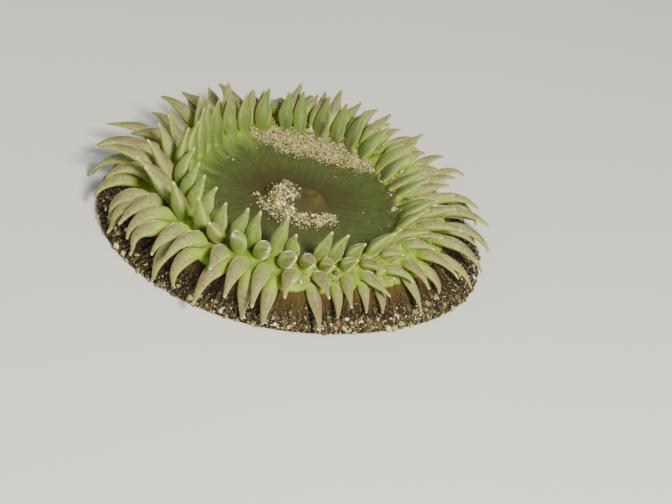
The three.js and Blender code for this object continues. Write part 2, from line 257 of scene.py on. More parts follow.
# The way that the water flows.
DRIFT = np.array((0.87, 0.5, 0))
# Stretches of the crown where the tentacles differ: the angle of the middle and how far round each
# reaches, in degrees. At the front right they are smaller, by a share that each whorl has of its own.
SMALLER_AT, SMALLER_WITHIN = 308, 30
SMALLER_LENGTH = (0.08, 0.3, 0.32, 0.32)
SMALLER_WIDTH = (0.08, 0.22, 0.28, 0.28)
# At the left they are longer and a little thinner, and on the right longer and much slimmer.
LONGER_AT, LONGER_WITHIN, LONGER_LENGTH, LONGER_WIDTH = 185, 40, 0.2, 0.1
SLIMMER_AT, SLIMMER_WITHIN, SLIMMER_LENGTH, SLIMMER_WIDTH = 15, 60, 0.1, 0.3
# At the front left the outer ones curl: they leave the margin steeper and their tips hang lower.
CURLED_AT, CURLED_WITHIN = 212, 32
CURLED_RISE = (0, 0, 12, 18)
CURLED_TIP = (0, -10, -55, -62)
# How far chance may move each trait of a tentacle, either way. The angles are in degrees.
JITTER = dict(turn=0.28, radius=1.0 * mm, rise=14, tip=24, side=17, length=0.18)
STEPS = 12
# A tentacle's line starts this deep in the margin.
SINK = 1.3 * mm


def chance(index, trait):
    """A repeatable number from -1 to 1 for a tentacle and one of its traits."""
    wave = sin(index * 12.9898 + trait * 78.233) * 43758.5453
    return 2 * (wave - floor(wave)) - 1


def around(shape, turn):
    """A value that changes round the animal."""
    mean, back, right, sides = shape
    return mean + back * sin(turn) + right * cos(turn) + sides * cos(2 * turn)


def free_tentacle(whorl_number, number):
    """A tentacle's thirteen points, the way it faces, its width and the length of one step."""
    whorl = WHORLS[whorl_number]
    index = whorl_number * 100 + number
    turn = SPACING * (whorl["first"] + number + JITTER["turn"] * chance(index, 1))
    small = nearness(turn, SMALLER_AT, SMALLER_WITHIN)
    slim = nearness(turn, SLIMMER_AT, SLIMMER_WITHIN)
    long = nearness(turn, LONGER_AT, LONGER_WITHIN)
    grown = (1 - SMALLER_LENGTH[whorl_number] * small) * (1 + LONGER_LENGTH * long)
    grown = grown * (1 + SLIMMER_LENGTH * slim)
    width = whorl["width"] * (1 - SMALLER_WIDTH[whorl_number] * small)
    width = width * (1 - LONGER_WIDTH * long) * (1 - SLIMMER_WIDTH * slim)
    length = around(whorl["length"], turn) * mm * grown * (1 + JITTER["length"] * chance(index, 2))
    curled = nearness(turn, CURLED_AT, CURLED_WITHIN)
    rise = around(whorl["rise"], turn) + CURLED_RISE[whorl_number] * curled
    rise = rise + JITTER["rise"] * chance(index, 3)
    tip = around(whorl["tip"], turn) + CURLED_TIP[whorl_number] * curled
    tip = tip + JITTER["tip"] * chance(index, 4)
    side = radians(JITTER["side"] * chance(index, 5))
    radius = whorl["radius"] + JITTER["radius"] * chance(index, 6)
    out = np.array((cos(turn + side), sin(turn + side), 0))

    def heading(along):
        angle = radians(blend(rise, tip, along))
        way = out * cos(angle) + DRIFT * whorl["drift"] * along
        way[2] = sin(angle)
        return way / np.linalg.norm(way)

    stride = (length + SINK) / STEPS
    places = [settle(radius, turn, crest_height(radius)) - SINK * heading(0)]
    for step in range(STEPS):
        places.append(places[-1] + stride * heading((step + 0.5) / STEPS))
    return np.array(places), out, width, whorl["plump_at"], stride


tentacles = [
    free_tentacle(whorl_number, number) for whorl_number in range(len(WHORLS)) for number in range(COLUMNS)
]
free_places, faces_out, widths, plump_ats, strides = (np.array(column) for column in zip(*tentacles))
lengths = strides * STEPS / mm
print(len(tentacles), "tentacles, mm long:", np.round(lengths.min(), 1), "to", np.round(lengths.max(), 1))

# %% [markdown]
# ## Letting the crowd settle
# So many plump tentacles on one margin can't all stand where chance puts them. Soft neighbours push
# each other aside until none runs through another, and none sinks into the trunk or the ground.
# Each tentacle is treated as a string of balls. In every round, two balls that overlap each give way
# by half, and then each string is pulled back to its own length from the root.

# %% Letting the crowd settle
GAP = 0.3 * mm
CROWD_ROUNDS = 16
# Only tentacles whose roots are nearer than this can meet.
CROWD_REACH = 40 * mm
# How much of the push a ball yields to, and how strongly a tentacle goes back to its own line.
CROWD_YIELD = 0.5
STIFFNESS = 0.08
# How many of its own radii a ball stays off the trunk.
FLANK_REACH = 1.2
# A tentacle's width at its root and at its tip, as shares of its full width.
PLUMP_ROOT = 0.78
PLUMP_TIP = 0.16


def plumpness(share, plump_at):
    """A tentacle's share of its full width at a share of its length."""
    swell = PLUMP_ROOT + (1 - PLUMP_ROOT) * smooth(0, plump_at, share)
    return swell * (1 - (1 - PLUMP_TIP) * smooth(plump_at, 1, share))


def length_of(vectors):
    """The lengths of a row of vectors, as a column."""
    return np.linalg.norm(vectors, axis=-1, keepdims=True)


def keep_clear(places, radii):
    """Moves points of a tentacle off the trunk's flank and the ground."""
    x, y, z = places[..., 0], places[..., 1], places[..., 2]
    share = np.clip((z - FOOT_HEIGHT) / (MARGIN_HEIGHT - FOOT_HEIGHT), 0, 1)
    flank = settle(blend(COLUMN_RADIUS, MARGIN_RADIUS, share), np.arctan2(y, x), z)
    shortest = np.hypot(flank[..., 0], flank[..., 1]) + FLANK_REACH * radii
    away = np.hypot(x, y)
    push = np.where((z < MARGIN_HEIGHT) & (away < shortest), shortest / away, 1)
    return np.stack((x * push, y * push, np.maximum(z, radii + GAP)), axis=-1)


def settle_crowd(free, strides, radii):
    """Lets the tentacles push each other aside."""
    roots = free[:, 0]
    near = length_of(roots[:, None] - roots[None])[..., 0] < CROWD_REACH
    near[np.arange(len(roots)), np.arange(len(roots))] = False
    pairs = np.argwhere(near)
    places = free.copy()
    for _ in range(CROWD_ROUNDS):
        apart = places[pairs[:, 0], 1:, None] - places[pairs[:, 1], None, 1:]
        distance = length_of(apart)[..., 0]
        overlap = radii[pairs[:, 0], 1:, None] + radii[pairs[:, 1], None, 1:] + GAP - distance
        push = (apart * (np.maximum(overlap, 0) / 2 / distance)[..., None]).sum(axis=2)
        moves = np.zeros_like(places)
        np.add.at(moves[:, 1:], pairs[:, 0], push)
        pushed = places + CROWD_YIELD * moves
        pushed += STIFFNESS * (free - pushed)
        pushed = keep_clear(pushed, radii)
        steps = pushed[:, 1:] - places[:, :-1]
        steps *= strides[:, None, None] / length_of(steps)
        places = np.concatenate((places[:, :1], places[:, :1] + np.cumsum(steps, axis=1)), axis=1)
    return places


ball_radii = widths[:, None] / 2 * plumpness(np.arange(STEPS + 1) / STEPS, plump_ats[:, None])
places = settle_crowd(free_places, strides, ball_radii)
tip_moves = length_of(places[:, -1] - free_places[:, -1])
print("tips moved, mm:", np.round(tip_moves.mean() / mm, 1), "on average")

# %% [markdown]
# ## The cage of the skin
# The whole skin is modelled as one coarse cage of four-sided faces, which Subdivision Surface then
# makes smooth. Sculpting a body and sticking tentacles on it would leave a seam round every root, so
# the tentacles are extruded from faces of the body instead.
#
# The cage starts as a ring of 36 edges at the rim of the disc. That ring is extruded outwards over
# the margin and down the trunk to the underside of the foot, and then, from the rim again, inwards
# over the disc, up over the lips and down into the mouth. The rings stay round for now.

# %% Rings of the cage
# A ring is its half length, its half depth and its height. From the rim outwards come the rings of
# the margin and of the trunk, and inwards those of the disc and of the lips. Profiles are in mm.
DISC_RING = 53.4 * mm
RIM = (DISC_RING, DISC_RING, DISC_EDGE_HEIGHT)
MARGIN_RINGS = [
    (whorl["radius"], whorl["radius"], crest_height(whorl["radius"])) for whorl in WHORLS[1::2]
]
TRUNK_PROFILE = (
    (79.6, 16.2), (81.6, 12.6), (86.2, 8.8), (91.6, 5.8), (95.6, 3.6), (97.4, 1.6), (96.4, 0), (91, 0),
    (60, 0), (24, 0),
)
TRUNK_RINGS = [(radius * mm, radius * mm, height * mm) for radius, height in TRUNK_PROFILE]
DISC_PROFILE = ((49.5, 22.2), (44, 21.2), (37, 20.4), (30, 20), (23, 20))
DISC_RINGS = [(radius * mm, radius * mm, height * mm) for radius, height in DISC_PROFILE]
LIP_PROFILE = (
    (16.6, 12.2, 20.3), (15, 10.6, 22.6), (12.6, 7.6, 25.2), (10.4, 3.6, 25.9), (9.2, 1.2, 24.6),
    (8.6, 0.7, 21.6),
)
LIP_RINGS = [(length * mm, depth * mm, height * mm) for length, depth, height in LIP_PROFILE]
TOUCH = 1e-6


def edit(piece):
    """Opens a piece in edit mode, with nothing in it selected."""
    deselect_all()
    bpy.context.view_layer.objects.active = piece
    piece.select_set(True)
    bpy.ops.object.mode_set(mode="EDIT")
    bpy.ops.mesh.select_all(action="DESELECT")


def select_where(piece, kind, chosen):
    """Selects the points, edges or faces that chosen says yes to."""
    bpy.ops.mesh.select_mode(type=kind)
    bpy.ops.mesh.select_all(action="DESELECT")
    shape = bmesh.from_edit_mesh(piece.data)
    items = {"VERT": shape.verts, "EDGE": shape.edges, "FACE": shape.faces}[kind]
    for item in [item for item in items if chosen(item)]:
        item.select_set(True)
    bmesh.update_edit_mesh(piece.data)


def extrude_rings(start, rings):
    """Extrudes the selected ring of edges from one ring of a list to the next."""
    for old, new in zip((start, *rings), rings):
        bpy.ops.mesh.extrude_edges_move()
        bpy.ops.transform.resize(value=(new[0] / old[0], new[1] / old[1], 1), center_override=(0, 0, 0))
        bpy.ops.transform.translate(value=(0, 0, new[2] - old[2]))


def on_ring(edge, ring):
    """Whether both ends of an edge lie on a round ring."""
    return all(
        abs(end.co.xy.length - ring[0]) < TOUCH and abs(end.co.z - ring[2]) < TOUCH for end in edge.verts
    )


deselect_all()
bpy.ops.mesh.primitive_circle_add(
    vertices=COLUMNS, radius=DISC_RING, location=(0, 0, DISC_EDGE_HEIGHT), rotation=(0, 0, SPACING / 2)
)
skin = new_piece("anemone_skin")
bpy.ops.object.transform_apply()
edit(skin)
select_where(skin, "EDGE", lambda edge: True)
extrude_rings(RIM, MARGIN_RINGS + TRUNK_RINGS)
bpy.ops.mesh.edge_face_add()
select_where(skin, "EDGE", lambda edge: on_ring(edge, RIM))
extrude_rings(RIM, DISC_RINGS + LIP_RINGS)
bpy.ops.mesh.edge_face_add()
bpy.ops.mesh.select_all(action="SELECT")
bpy.ops.mesh.normals_make_consistent(inside=False)
print("cage:", len(bmesh.from_edit_mesh(skin.data).faces), "faces")

# %% [markdown]
# ## A diamond for every tentacle
# Tentacles in staggered whorls need faces in staggered rows. Poking each face of the margin puts a
# point in its middle, and when the old edges are then dissolved, a diamond is left round the middle
# of every one of them. The diamonds lie just where the tentacles stand, each with a corner towards
# the disc, one towards the trunk and one to each side.

# %% Diamonds on the margin
LATTICE_RINGS = (RIM, *MARGIN_RINGS, TRUNK_RINGS[0])
# The rings of new points, halfway between the old rings, and the radii that they belong at.
MIDDLE_RINGS = (
    (LATTICE_RINGS[0], LATTICE_RINGS[1], WHORLS[0]["radius"]),
    (LATTICE_RINGS[1], LATTICE_RINGS[2], WHORLS[2]["radius"]),
    (LATTICE_RINGS[2], LATTICE_RINGS[3], MARGIN_RADIUS),
)
LATTICE_FLOOR = LATTICE_RINGS[-1][2]
LAST_RING = len(LATTICE_RINGS) - 1
# A diamond belongs to a whorl when its middle is this near to the whorl's radius.
WHORL_REACH = 1.5 * mm


def lattice_ring(point):
    """Which ring of the old lattice a point of the cage is on, or -1."""
    for number, (radius, _, height) in enumerate(LATTICE_RINGS):
        if abs(point.co.xy.length - radius) < TOUCH and abs(point.co.z - height) < TOUCH:
            return number
    return -1


def is_old_edge(edge):
    """Whether an edge is one of the old lattice's, and not on its inner or outer border."""
    rings = [lattice_ring(end) for end in edge.verts]
    return min(rings) >= 0 and rings not in ([0, 0], [LAST_RING, LAST_RING])


select_where(skin, "FACE", lambda face: all(lattice_ring(corner) >= 0 for corner in face.verts))
bpy.ops.mesh.poke()
select_where(skin, "EDGE", is_old_edge)
bpy.ops.mesh.dissolve_edges(use_verts=False)
for inner, outer, radius in MIDDLE_RINGS:
    select_where(
        skin,
        "VERT",
        lambda point: inner[0] + TOUCH < point.co.xy.length < outer[0] - TOUCH
        and point.co.z > LATTICE_FLOOR,
    )
    poked = next(point.co for point in bmesh.from_edit_mesh(skin.data).verts if point.select)
    now, low = poked.xy.length, poked.z
    bpy.ops.transform.resize(value=(radius / now, radius / now, 1), center_override=(0, 0, 0))
    bpy.ops.transform.translate(value=(0, 0, crest_height(radius) - low))

cage = bmesh.from_edit_mesh(skin.data)
mark = cage.faces.layers.int.new("tentacle")
for face in cage.faces:
    middle = face.calc_center_median()
    for whorl_number, whorl in enumerate(WHORLS):
        if abs(middle.xy.length - whorl["radius"]) < WHORL_REACH and middle.z > MARGIN_HEIGHT:
            turn = atan2(middle.y, middle.x)
            number = round(turn / SPACING - whorl["first"]) % COLUMNS
            face[mark] = whorl_number * COLUMNS + number + 1
marks = [face[mark] for face in cage.faces if face[mark]]
print("diamonds marked:", len(marks), "of", len(set(marks)), "tentacles")

# %% [markdown]
# ## From the round layout to the real plan
# Now that the lattice is done, its points move to their places on the oval, lobed animal. While the
# cage is still simple, each point is also told what part of the animal it is on. Blender carries such
# traits along when the cage is extruded and smoothed, so the finish can read them at the end.

# %% Moving the cage to the real plan
# What the finish of the skin has to know at each point: how far along a tentacle it is, whether it
# is on the tentacle's upper side, the tentacle's own tone, and whether it is crown or trunk.
SKIN_TRAITS = ("along", "upper", "tone", "crown", "trunk")
for trait in SKIN_TRAITS:
    bmesh.from_edit_mesh(skin.data).verts.layers.float.new(trait)


def skin_cage():
    """The cage in edit mode, and the layers that hold its points' traits."""
    cage = bmesh.from_edit_mesh(skin.data)
    return cage, {trait: cage.verts.layers.float[trait] for trait in SKIN_TRAITS}


cage, traits = skin_cage()
for point in cage.verts:
    radius, turn, height = point.co.xy.length, atan2(point.co.y, point.co.x), point.co.z
    on_top = height > LATTICE_FLOOR + TOUCH
    point[traits["trunk"]] = 0 if radius < MARGIN_RADIUS - TOUCH and on_top else 1
    point[traits["crown"]] = 1 if DISC_RING + TOUCH < radius and on_top else 0
    point.co = settle(radius, turn, height)
bmesh.update_edit_mesh(skin.data)
print("cage, mm:", [round(side / mm, 1) for side in skin.dimensions])

# %% [markdown]
# ## Growing the tentacles
# Each diamond is inset, which leaves a web of flesh between neighbours, and is then extruded again
# and again along its tentacle's line. A four-sided cage that has been subdivided ends as a round
# tube about two thirds as wide as the cage, so the cage is made wider by that much. The tentacle is
# slim where it leaves the margin, fullest a quarter to a third of the way along, and ends in a
# small round tip.

# %% Growing the tentacles
CAGE_SWELL = 1.52
# Where along its line a tentacle has its rings. The first is the inset, a little slimmer.
ROOT_SHARE = 0.05
ROOT_WIDTH = 0.94
RING_SHARES = (0.13, 0.27, 0.41, 0.56, 0.71, 0.85, 0.96)
INSET = 0.6 * mm
# The trait of its own that chance draws a tentacle's tone from.
TONE_TRAIT = 7


def line_at(number, share):
    """The place and the sideways and backward directions of a tentacle's ring."""
    line = places[number]
    step = share * STEPS
    before = min(int(step), STEPS - 1)
    place = blend(line[before], line[before + 1], step - before)
    along = line[min(before + 2, STEPS)] - line[max(before - 1, 0)]
    along = along / np.linalg.norm(along)
    across = np.array((-faces_out[number][1], faces_out[number][0], 0))
    flank = across - along * (across @ along)
    flank = flank / np.linalg.norm(flank)
    return place, flank, np.cross(flank, along)


def place_ring(face, number, share, old_ring, width_share=1):
    """Moves a face's four corners to their places on a ring of their tentacle."""
    old_place, old_flank, old_back = old_ring
    place, flank, back = line_at(number, share)
    half = CAGE_SWELL * widths[number] / 2 * float(plumpness(share, plump_ats[number])) * width_share
    for corner in face.verts:
        offset = np.array(corner.co) - old_place
        sideways, backward = offset @ old_flank, offset @ old_back
        if abs(sideways) > abs(backward):
            corner.co = place + flank * half * np.sign(sideways)
            corner[traits["upper"]] = 0
        else:
            corner.co = place + back * half * np.sign(backward)
            corner[traits["upper"]] = -np.sign(backward)
        corner[traits["along"]] = share
        corner[traits["tone"]] = chance(number, TONE_TRAIT)
    return place, flank, back


def growing_ends():
    """The faces at the growing ends of the tentacles, each with its tentacle's number."""
    mark = cage.faces.layers.int["tentacle"]
    return [(face, face[mark] - 1) for face in cage.faces if face.select]


mark = cage.faces.layers.int["tentacle"]
select_where(skin, "FACE", lambda face: face[mark] > 0)
bpy.ops.mesh.inset(thickness=INSET, use_individual=True)
cage, traits = skin_cage()
rings = {}
for face, number in growing_ends():
    out = faces_out[number]
    root_ring = (np.array(face.calc_center_median()), np.array((-out[1], out[0], 0)), out)
    rings[number] = place_ring(face, number, ROOT_SHARE, root_ring, ROOT_WIDTH)
bmesh.update_edit_mesh(skin.data)
for share in RING_SHARES:
    bpy.ops.mesh.extrude_faces_move()
    cage, traits = skin_cage()
    for face, number in growing_ends():
        rings[number] = place_ring(face, number, share, rings[number])
    bmesh.update_edit_mesh(skin.data)
print("cage with tentacles:", len(cage.faces), "faces")
bpy.ops.object.mode_set(mode="OBJECT")

# %% [markdown]
# ## Smoothing
# Two rounds of Subdivision Surface turn the cage into smooth flesh, and the traits run smoothly from
# part to part with it. The modifier is applied, because the folds need the smooth points.

# %% Smoothing the cage
subdivision = skin.modifiers.new("smooth flesh", "SUBSURF")
subdivision.levels = 2
subdivision.render_levels = 2
deselect_all()
bpy.context.view_layer.objects.active = skin
skin.select_set(True)
bpy.ops.object.modifier_apply(modifier=subdivision.name)
bpy.ops.object.shade_smooth()
print("skin:", len(skin.data.polygons) * 2, "triangles")

# %% [markdown]
# ## Folds and spokes
# Flesh that is drawn together folds. Low spokes run over the disc to the gaps between the
# tentacles, the lips are pleated, and furrows run down the trunk. These are waves round the mouth,
# so each point of the smooth skin is moved a little along its normal by a wave of its turn. Where
# the animal rests on the floor nothing moves.

# %% Folds and spokes
skin_points = np.empty(len(skin.data.vertices) * 3)
skin.data.vertices.foreach_get("co", skin_points)
skin_points = skin_points.reshape(-1, 3)
skin_normals = np.empty(skin_points.size)
skin.data.vertex_normals.foreach_get("vector", skin_normals)
skin_normals = skin_normals.reshape(-1, 3)


def skin_trait(name):
    """A trait of all the points of the skin."""
    values = np.empty(len(skin_points))
    skin.data.attributes[name].data.foreach_get("value", values)
    return values


SPOKES, SPOKE_HEIGHT = 36, 0.12 * mm
PLEATS, PLEAT_HEIGHT = 18, 0.15 * mm
FURROWS, FURROW_DEPTH = 60, 0.8 * mm
# The radii between which the pleats begin, then die out, and the spokes begin.
PLEATS_BEGIN, PLEATS_END, SPOKES_BEGIN = (2 * mm, 6 * mm), (10 * mm, 15 * mm), (15 * mm, 24 * mm)
# The heights between which the furrows begin.
FURROWS_BEGIN = (0.5 * mm, 4 * mm)

turns = np.arctan2(skin_points[:, 1] / CROWN_DEPTH_SHARE, skin_points[:, 0])
radii = np.hypot(skin_points[:, 0], skin_points[:, 1] / CROWN_DEPTH_SHARE)
on_disc = (1 - skin_trait("crown")) * (1 - skin_trait("trunk"))
on_lips = on_disc * smooth(*PLEATS_BEGIN, radii) * (1 - smooth(*PLEATS_END, radii))
on_trunk = skin_trait("trunk") * smooth(*FURROWS_BEGIN, skin_points[:, 2])
wander = 0.7 * np.sin(5 * turns + 1) + 0.5 * np.sin(11 * turns + 2)
rise = SPOKE_HEIGHT * np.cos(SPOKES * turns) * on_disc * smooth(*SPOKES_BEGIN, radii)
rise += PLEAT_HEIGHT * np.cos(PLEATS * turns) * on_lips
rise += FURROW_DEPTH * np.cos(FURROWS * turns + wander) * on_trunk * (0.6 + 0.4 * np.sin(7 * turns))
skin_points += skin_normals * rise[:, None]
skin.data.vertices.foreach_set("co", skin_points.ravel())
skin.data.update()
print("points moved, mm:", np.round(rise.min() / mm, 2), "to", np.round(rise.max() / mm, 2))

# %% [markdown]
# ## Sums with sockets
# A finish is a small sum: this much green, less where the tentacle is thin, a little brown noise
# over it. Blender writes such a sum as nodes. The Wire class lets the lesson write it as a plain
# Python expression instead, and every plus or times adds the Math node that it stands for. All the
# other nodes come from one method of Finish, which takes a node's type, its settings and the values
# or wires of its sockets.

# %% Wires and finishes
class Wire:
    """A value on its way through a finish, which can be used in sums as a number is."""

    def __init__(self, finish, socket):
        self.finish = finish
        self.socket = socket

    def math(self, operation, first, second):
        return self.finish.node("Math", {"operation": operation}, {0: first, 1: second})

    def __add__(self, other):
        return self.math("ADD", self, other)

    def __radd__(self, other):
        return self.math("ADD", other, self)

    def __sub__(self, other):
        return self.math("SUBTRACT", self, other)

    def __rsub__(self, other):
        return self.math("SUBTRACT", other, self)

    def __mul__(self, other):
        return self.math("MULTIPLY", self, other)

    def __rmul__(self, other):
        return self.math("MULTIPLY", other, self)

    def __truediv__(self, other):
        return self.math("DIVIDE", self, other)

    def __pow__(self, other):
        return self.math("POWER", self, other)


class Finish:
    """A material, and the nodes that make its finish."""

    def __init__(self, name):
        self.material = bpy.data.materials.new(name)
        self.material.use_nodes = True
        self.tree = self.material.node_tree
        self.tree.nodes.clear()

    def node(self, kind, settings=None, values=None, out=0):
        """Adds a node and gives the wire of one of its outputs."""
        node = self.tree.nodes.new("ShaderNode" + kind)
        for setting, value in (settings or {}).items():
            setattr(node, setting, value)
        for socket, value in (values or {}).items():
            if isinstance(value, Wire):
                self.tree.links.new(value.socket, node.inputs[socket])
            else:
                node.inputs[socket].default_value = value
        return Wire(self, node.outputs[out]) if node.outputs else None

    def place(self):
        """Where on the object the finish is."""
        return self.node("TexCoord", out="Object")

    def trait(self, name):
        """A trait that the points of the mesh carry."""
        return self.node("Attribute", {"attribute_name": name}, out="Fac")

    def noise(self, place, scale, detail=2.0, roughness=0.5):
        """Cloudy noise from 0 to 1, with so many clouds to the metre."""
        values = {"Vector": place, "Scale": scale, "Detail": detail, "Roughness": roughness}
        return self.node("TexNoise", values=values)

    def rise(self, value, low, high):
        """Runs smoothly from 0 at low to 1 at high."""
        values = {"Value": value, "From Min": low, "From Max": high}
        return self.node("MapRange", {"interpolation_type": "SMOOTHSTEP"}, values)

    def mix(self, low, high, share):
        """One colour shading into another. The node's colour sockets are its 6 and 7, and its output 2."""
        return self.node("Mix", {"data_type": "RGBA"}, {0: share, 6: low, 7: high}, out=2)

    def bump(self, height, depth):
        """Relief that is so many metres deep."""
        return self.node("Bump", values={"Height": height, "Distance": depth})

    def shader(self, **values):
        """A shader whose sockets have these values."""
        values = {name.replace("_", " "): value for name, value in values.items()}
        return self.node("BsdfPrincipled", values=values)

    def done(self, shader):
        """Ends the finish with its shader."""
        self.node("OutputMaterial", values={"Surface": shader})
        return self.material

    def surface(self, **values):
        """Ends the finish with one shader whose sockets have these values."""
        return self.done(self.shader(**values))


def paint(red, green, blue):
    """A colour given as on a paint card, from 0 to 255, as the light that it reflects."""
    return tuple(((part / 255 + 0.055) / 1.055) ** 2.4 for part in (red, green, blue)) + (1,)


def wear(piece, material):
    """Gives a piece its one finish."""
    piece.data.materials.clear()
    piece.data.materials.append(material)
    print(piece.name, "wears", material.name + ",", len(material.node_tree.nodes), "nodes")


# %% [markdown]
# ## The living skin
# All the flesh has one finish, so that no line shows where trunk, crown and disc meet. The traits
# that the points carry say which is which. The finish is put together in steps: first what it knows
# of each place, then the colours of the tentacles, of the disc and of the trunk, and last the shader
# that wears them. It is noise at four scales that keeps flesh from looking like painted plastic.

# %% What the flesh knows of each place
# Noise has so many clouds to the metre: patches are about 20 mm across, mottle 4 mm, speckle 1.5 mm.
PATCHES, MOTTLES, SPECKLES, FINE_GRAIN = 45, 260, 620, 1300
# Keeps a division from failing at the very middle.
TINY = 1e-5

flesh = Finish("anemone_flesh")
place = flesh.place()
along, upper, tone, crown, trunk = (flesh.trait(trait) for trait in SKIN_TRAITS)
x = flesh.node("SeparateXYZ", values={"Vector": place}, out="X")
y = flesh.node("SeparateXYZ", values={"Vector": place}, out="Y") / CROWN_DEPTH_SHARE
z = flesh.node("SeparateXYZ", values={"Vector": place}, out="Z")
radius = (x * x + y * y) ** 0.5 + TINY
patch = flesh.noise(place, PATCHES, 2)
mottle = flesh.noise(place, MOTTLES, 3)
speckle = flesh.noise(place, SPECKLES, 3, 0.6)
fine = flesh.noise(place, FINE_GRAIN, 2)
print("to start with:", len(flesh.tree.nodes), "nodes")

# %% [markdown]
# ## The tentacles' colours
# Sea anemones of this kind are green from the algae that live in them. A tentacle is brightest green at its
# root and duller along its length, with a greyish mauve upper side, dark specks, a brown saddle on some,
# and a cream tip. Its flanks are painted paler, as painted rim light where light shines through their thin
# edges. Each of these is mixed over what lies under it.

# %% The tentacles' colours
top = upper + (mottle - 0.5) * 0.5
tentacle_colour = flesh.mix(paint(120, 140, 66), paint(139, 147, 84), flesh.rise(top, -0.6, 0.1))
tentacle_colour = flesh.mix(tentacle_colour, paint(132, 127, 86), flesh.rise(top, 0.2, 0.9))
specks = flesh.rise(speckle, 0.48, 0.64) * 0.65
tentacle_colour = flesh.mix(tentacle_colour, paint(92, 100, 58), specks)
saddle = flesh.rise(along, 0.3, 0.5) * (1 - flesh.rise(along, 0.55, 0.8))
saddle = saddle * flesh.rise(tone + patch, 0.5, 1.1) * flesh.rise(top, 0.1, 0.8)
tentacle_colour = flesh.mix(tentacle_colour, paint(110, 84, 62), saddle * 0.6)
# Painted rim light: the flanks are painted pale, as thin edges look where light shines through them.
flank = (1 - flesh.rise(upper * upper, 0.0, 0.08)) * flesh.rise(along, 0.1, 0.3)
tentacle_colour = flesh.mix(tentacle_colour, paint(196, 204, 108), flank * 0.4)
root = 1 - flesh.rise(along + (mottle - 0.5) * 0.2 + tone * 0.06, 0.04, 0.36)
root_colour = flesh.mix(paint(136, 158, 56), paint(156, 182, 60), flesh.rise(patch, 0.35, 0.65))
tentacle_colour = flesh.mix(tentacle_colour, root_colour, root)
tentacle_colour = flesh.mix(tentacle_colour, paint(204, 196, 132), flesh.rise(along, 0.86, 0.98))
print("with the tentacles:", len(flesh.tree.nodes), "nodes")

# %% [markdown]
# ## The disc's colours
# The disc is dark olive, with spokes so fine that they look like brush strokes. They run out to
# bright green rays at the roots of the tentacles, which begin nearer the mouth on the left. Noise
# makes spokes when it is laid out by direction from the mouth, and is hardly stretched outwards.
# Round the mouth the disc is brown, with an ochre patch beside it.

# %% The disc's colours
SPOKE_STRETCH = 6.0
RAY_START = 0.056
OCHRE_PATCH = (0.010, -0.001)

directions = {"X": x / radius, "Y": y / radius, "Z": radius * SPOKE_STRETCH}
spoke_place = flesh.node("CombineXYZ", values=directions)
spokes = flesh.noise(spoke_place, 40, 2, 0.5)
rays = flesh.noise(spoke_place, 11, 2)
left = flesh.rise(-1 * x / radius, -0.2, 1)
disc_colour = flesh.mix(paint(63, 69, 38), paint(77, 87, 46), flesh.rise(spokes, 0.3, 0.75))
ray_start = RAY_START - left * 0.009 - (rays - 0.5) * 0.02 - (spokes - 0.5) * 0.006
ray = flesh.rise(radius - ray_start, -0.008, 0.008)
disc_colour = flesh.mix(disc_colour, paint(104, 126, 57), ray)
near_mouth = 1 - flesh.rise(radius + (patch - 0.5) * 0.03, 0.012, 0.038)
disc_colour = flesh.mix(disc_colour, paint(60, 54, 32), near_mouth * 0.8)
right, back = x - OCHRE_PATCH[0], y - OCHRE_PATCH[1]
from_patch = (right * right + back * back) ** 0.5
ochre = 1 - flesh.rise(from_patch + (mottle - 0.5) * 0.006, 0.001, 0.008)
disc_colour = flesh.mix(disc_colour, paint(92, 77, 39), ochre * 0.55)
print("with the disc:", len(flesh.tree.nodes), "nodes")

# %% [markdown]
# ## The trunk's colours
# The trunk is dark brown, streaked from top to bottom and blotched, and more ochre high up, under
# the tentacles. The streaks are made as the spokes are, but follow the height.

# %% The trunk's colours
STREAK_STRETCH = 2.0

directions = {"X": x / radius, "Y": y / radius, "Z": z * STREAK_STRETCH}
streaks = flesh.noise(flesh.node("CombineXYZ", values=directions), 60, 3, 0.6)
trunk_colour = flesh.mix(paint(30, 24, 13), paint(58, 48, 25), flesh.rise(streaks, 0.3, 0.7))
high_up = flesh.rise(z + (patch - 0.5) * 0.02, 0.008, 0.016)
trunk_colour = flesh.mix(trunk_colour, paint(100, 78, 36), high_up * (0.05 + streaks * 0.6))
blotches = flesh.rise(flesh.noise(place, 140, 3), 0.48, 0.72)
trunk_colour = flesh.mix(trunk_colour, paint(34, 28, 20), blotches * 0.8)
print("with the trunk:", len(flesh.tree.nodes), "nodes")

# %% [markdown]
# ## One finish for all the flesh
# The three colours shade into each other where the traits say so, and the web between the roots of the
# tentacles is creased, with painted shade that darkens it between the roots, most in the creases. Light
# enters living flesh and comes out beside where it went in, which the shader does by scattering it below
# the surface. It goes deeper in the thin tentacles, and a sheen gives them their pale edges. A shader takes
# only one value for such things all over, so there are two, thick for the body and thin for the tentacles,
# and the trait along mixes them.

# %% One finish for all the flesh
web = crown * (1 - trunk) * (1 - flesh.rise(along, 0.0, 0.1))
creases = flesh.noise(place, 340, 3, 0.6)
# Painted shade: the web between the roots is darkened, and more so in its creases.
painted_web_shade = web * (0.25 + flesh.rise(creases, 0.4, 0.6) * 0.6)
colour = flesh.mix(disc_colour, tentacle_colour, flesh.rise(crown, 0.4, 0.9))
colour = flesh.mix(colour, paint(98, 112, 46), painted_web_shade)
colour = flesh.mix(colour, trunk_colour, flesh.rise(trunk + (mottle - 0.5) * 0.7, 0.34, 0.66))
relief = spokes * (1 - crown) * (1 - trunk) * 0.25 + streaks * trunk * 1.2 + mottle * 0.5
relief = relief + speckle * 0.3 + fine * 0.15 + creases * web * 2.4
rough_mouth = 0.22 * near_mouth * (1 - crown)
look = dict(
    Base_Color=colour,
    Roughness=0.46 + 0.2 * trunk + rough_mouth + (mottle - 0.5) * 0.16,
    Normal=flesh.bump(relief, 0.6 * mm),
    IOR=1.38,
    Subsurface_Radius=(1.0, 0.9, 0.35),
)
thick = flesh.shader(
    Specular_IOR_Level=0.14,
    Subsurface_Weight=0.3,
    Subsurface_Scale=1.0 * mm,
    **look,
)
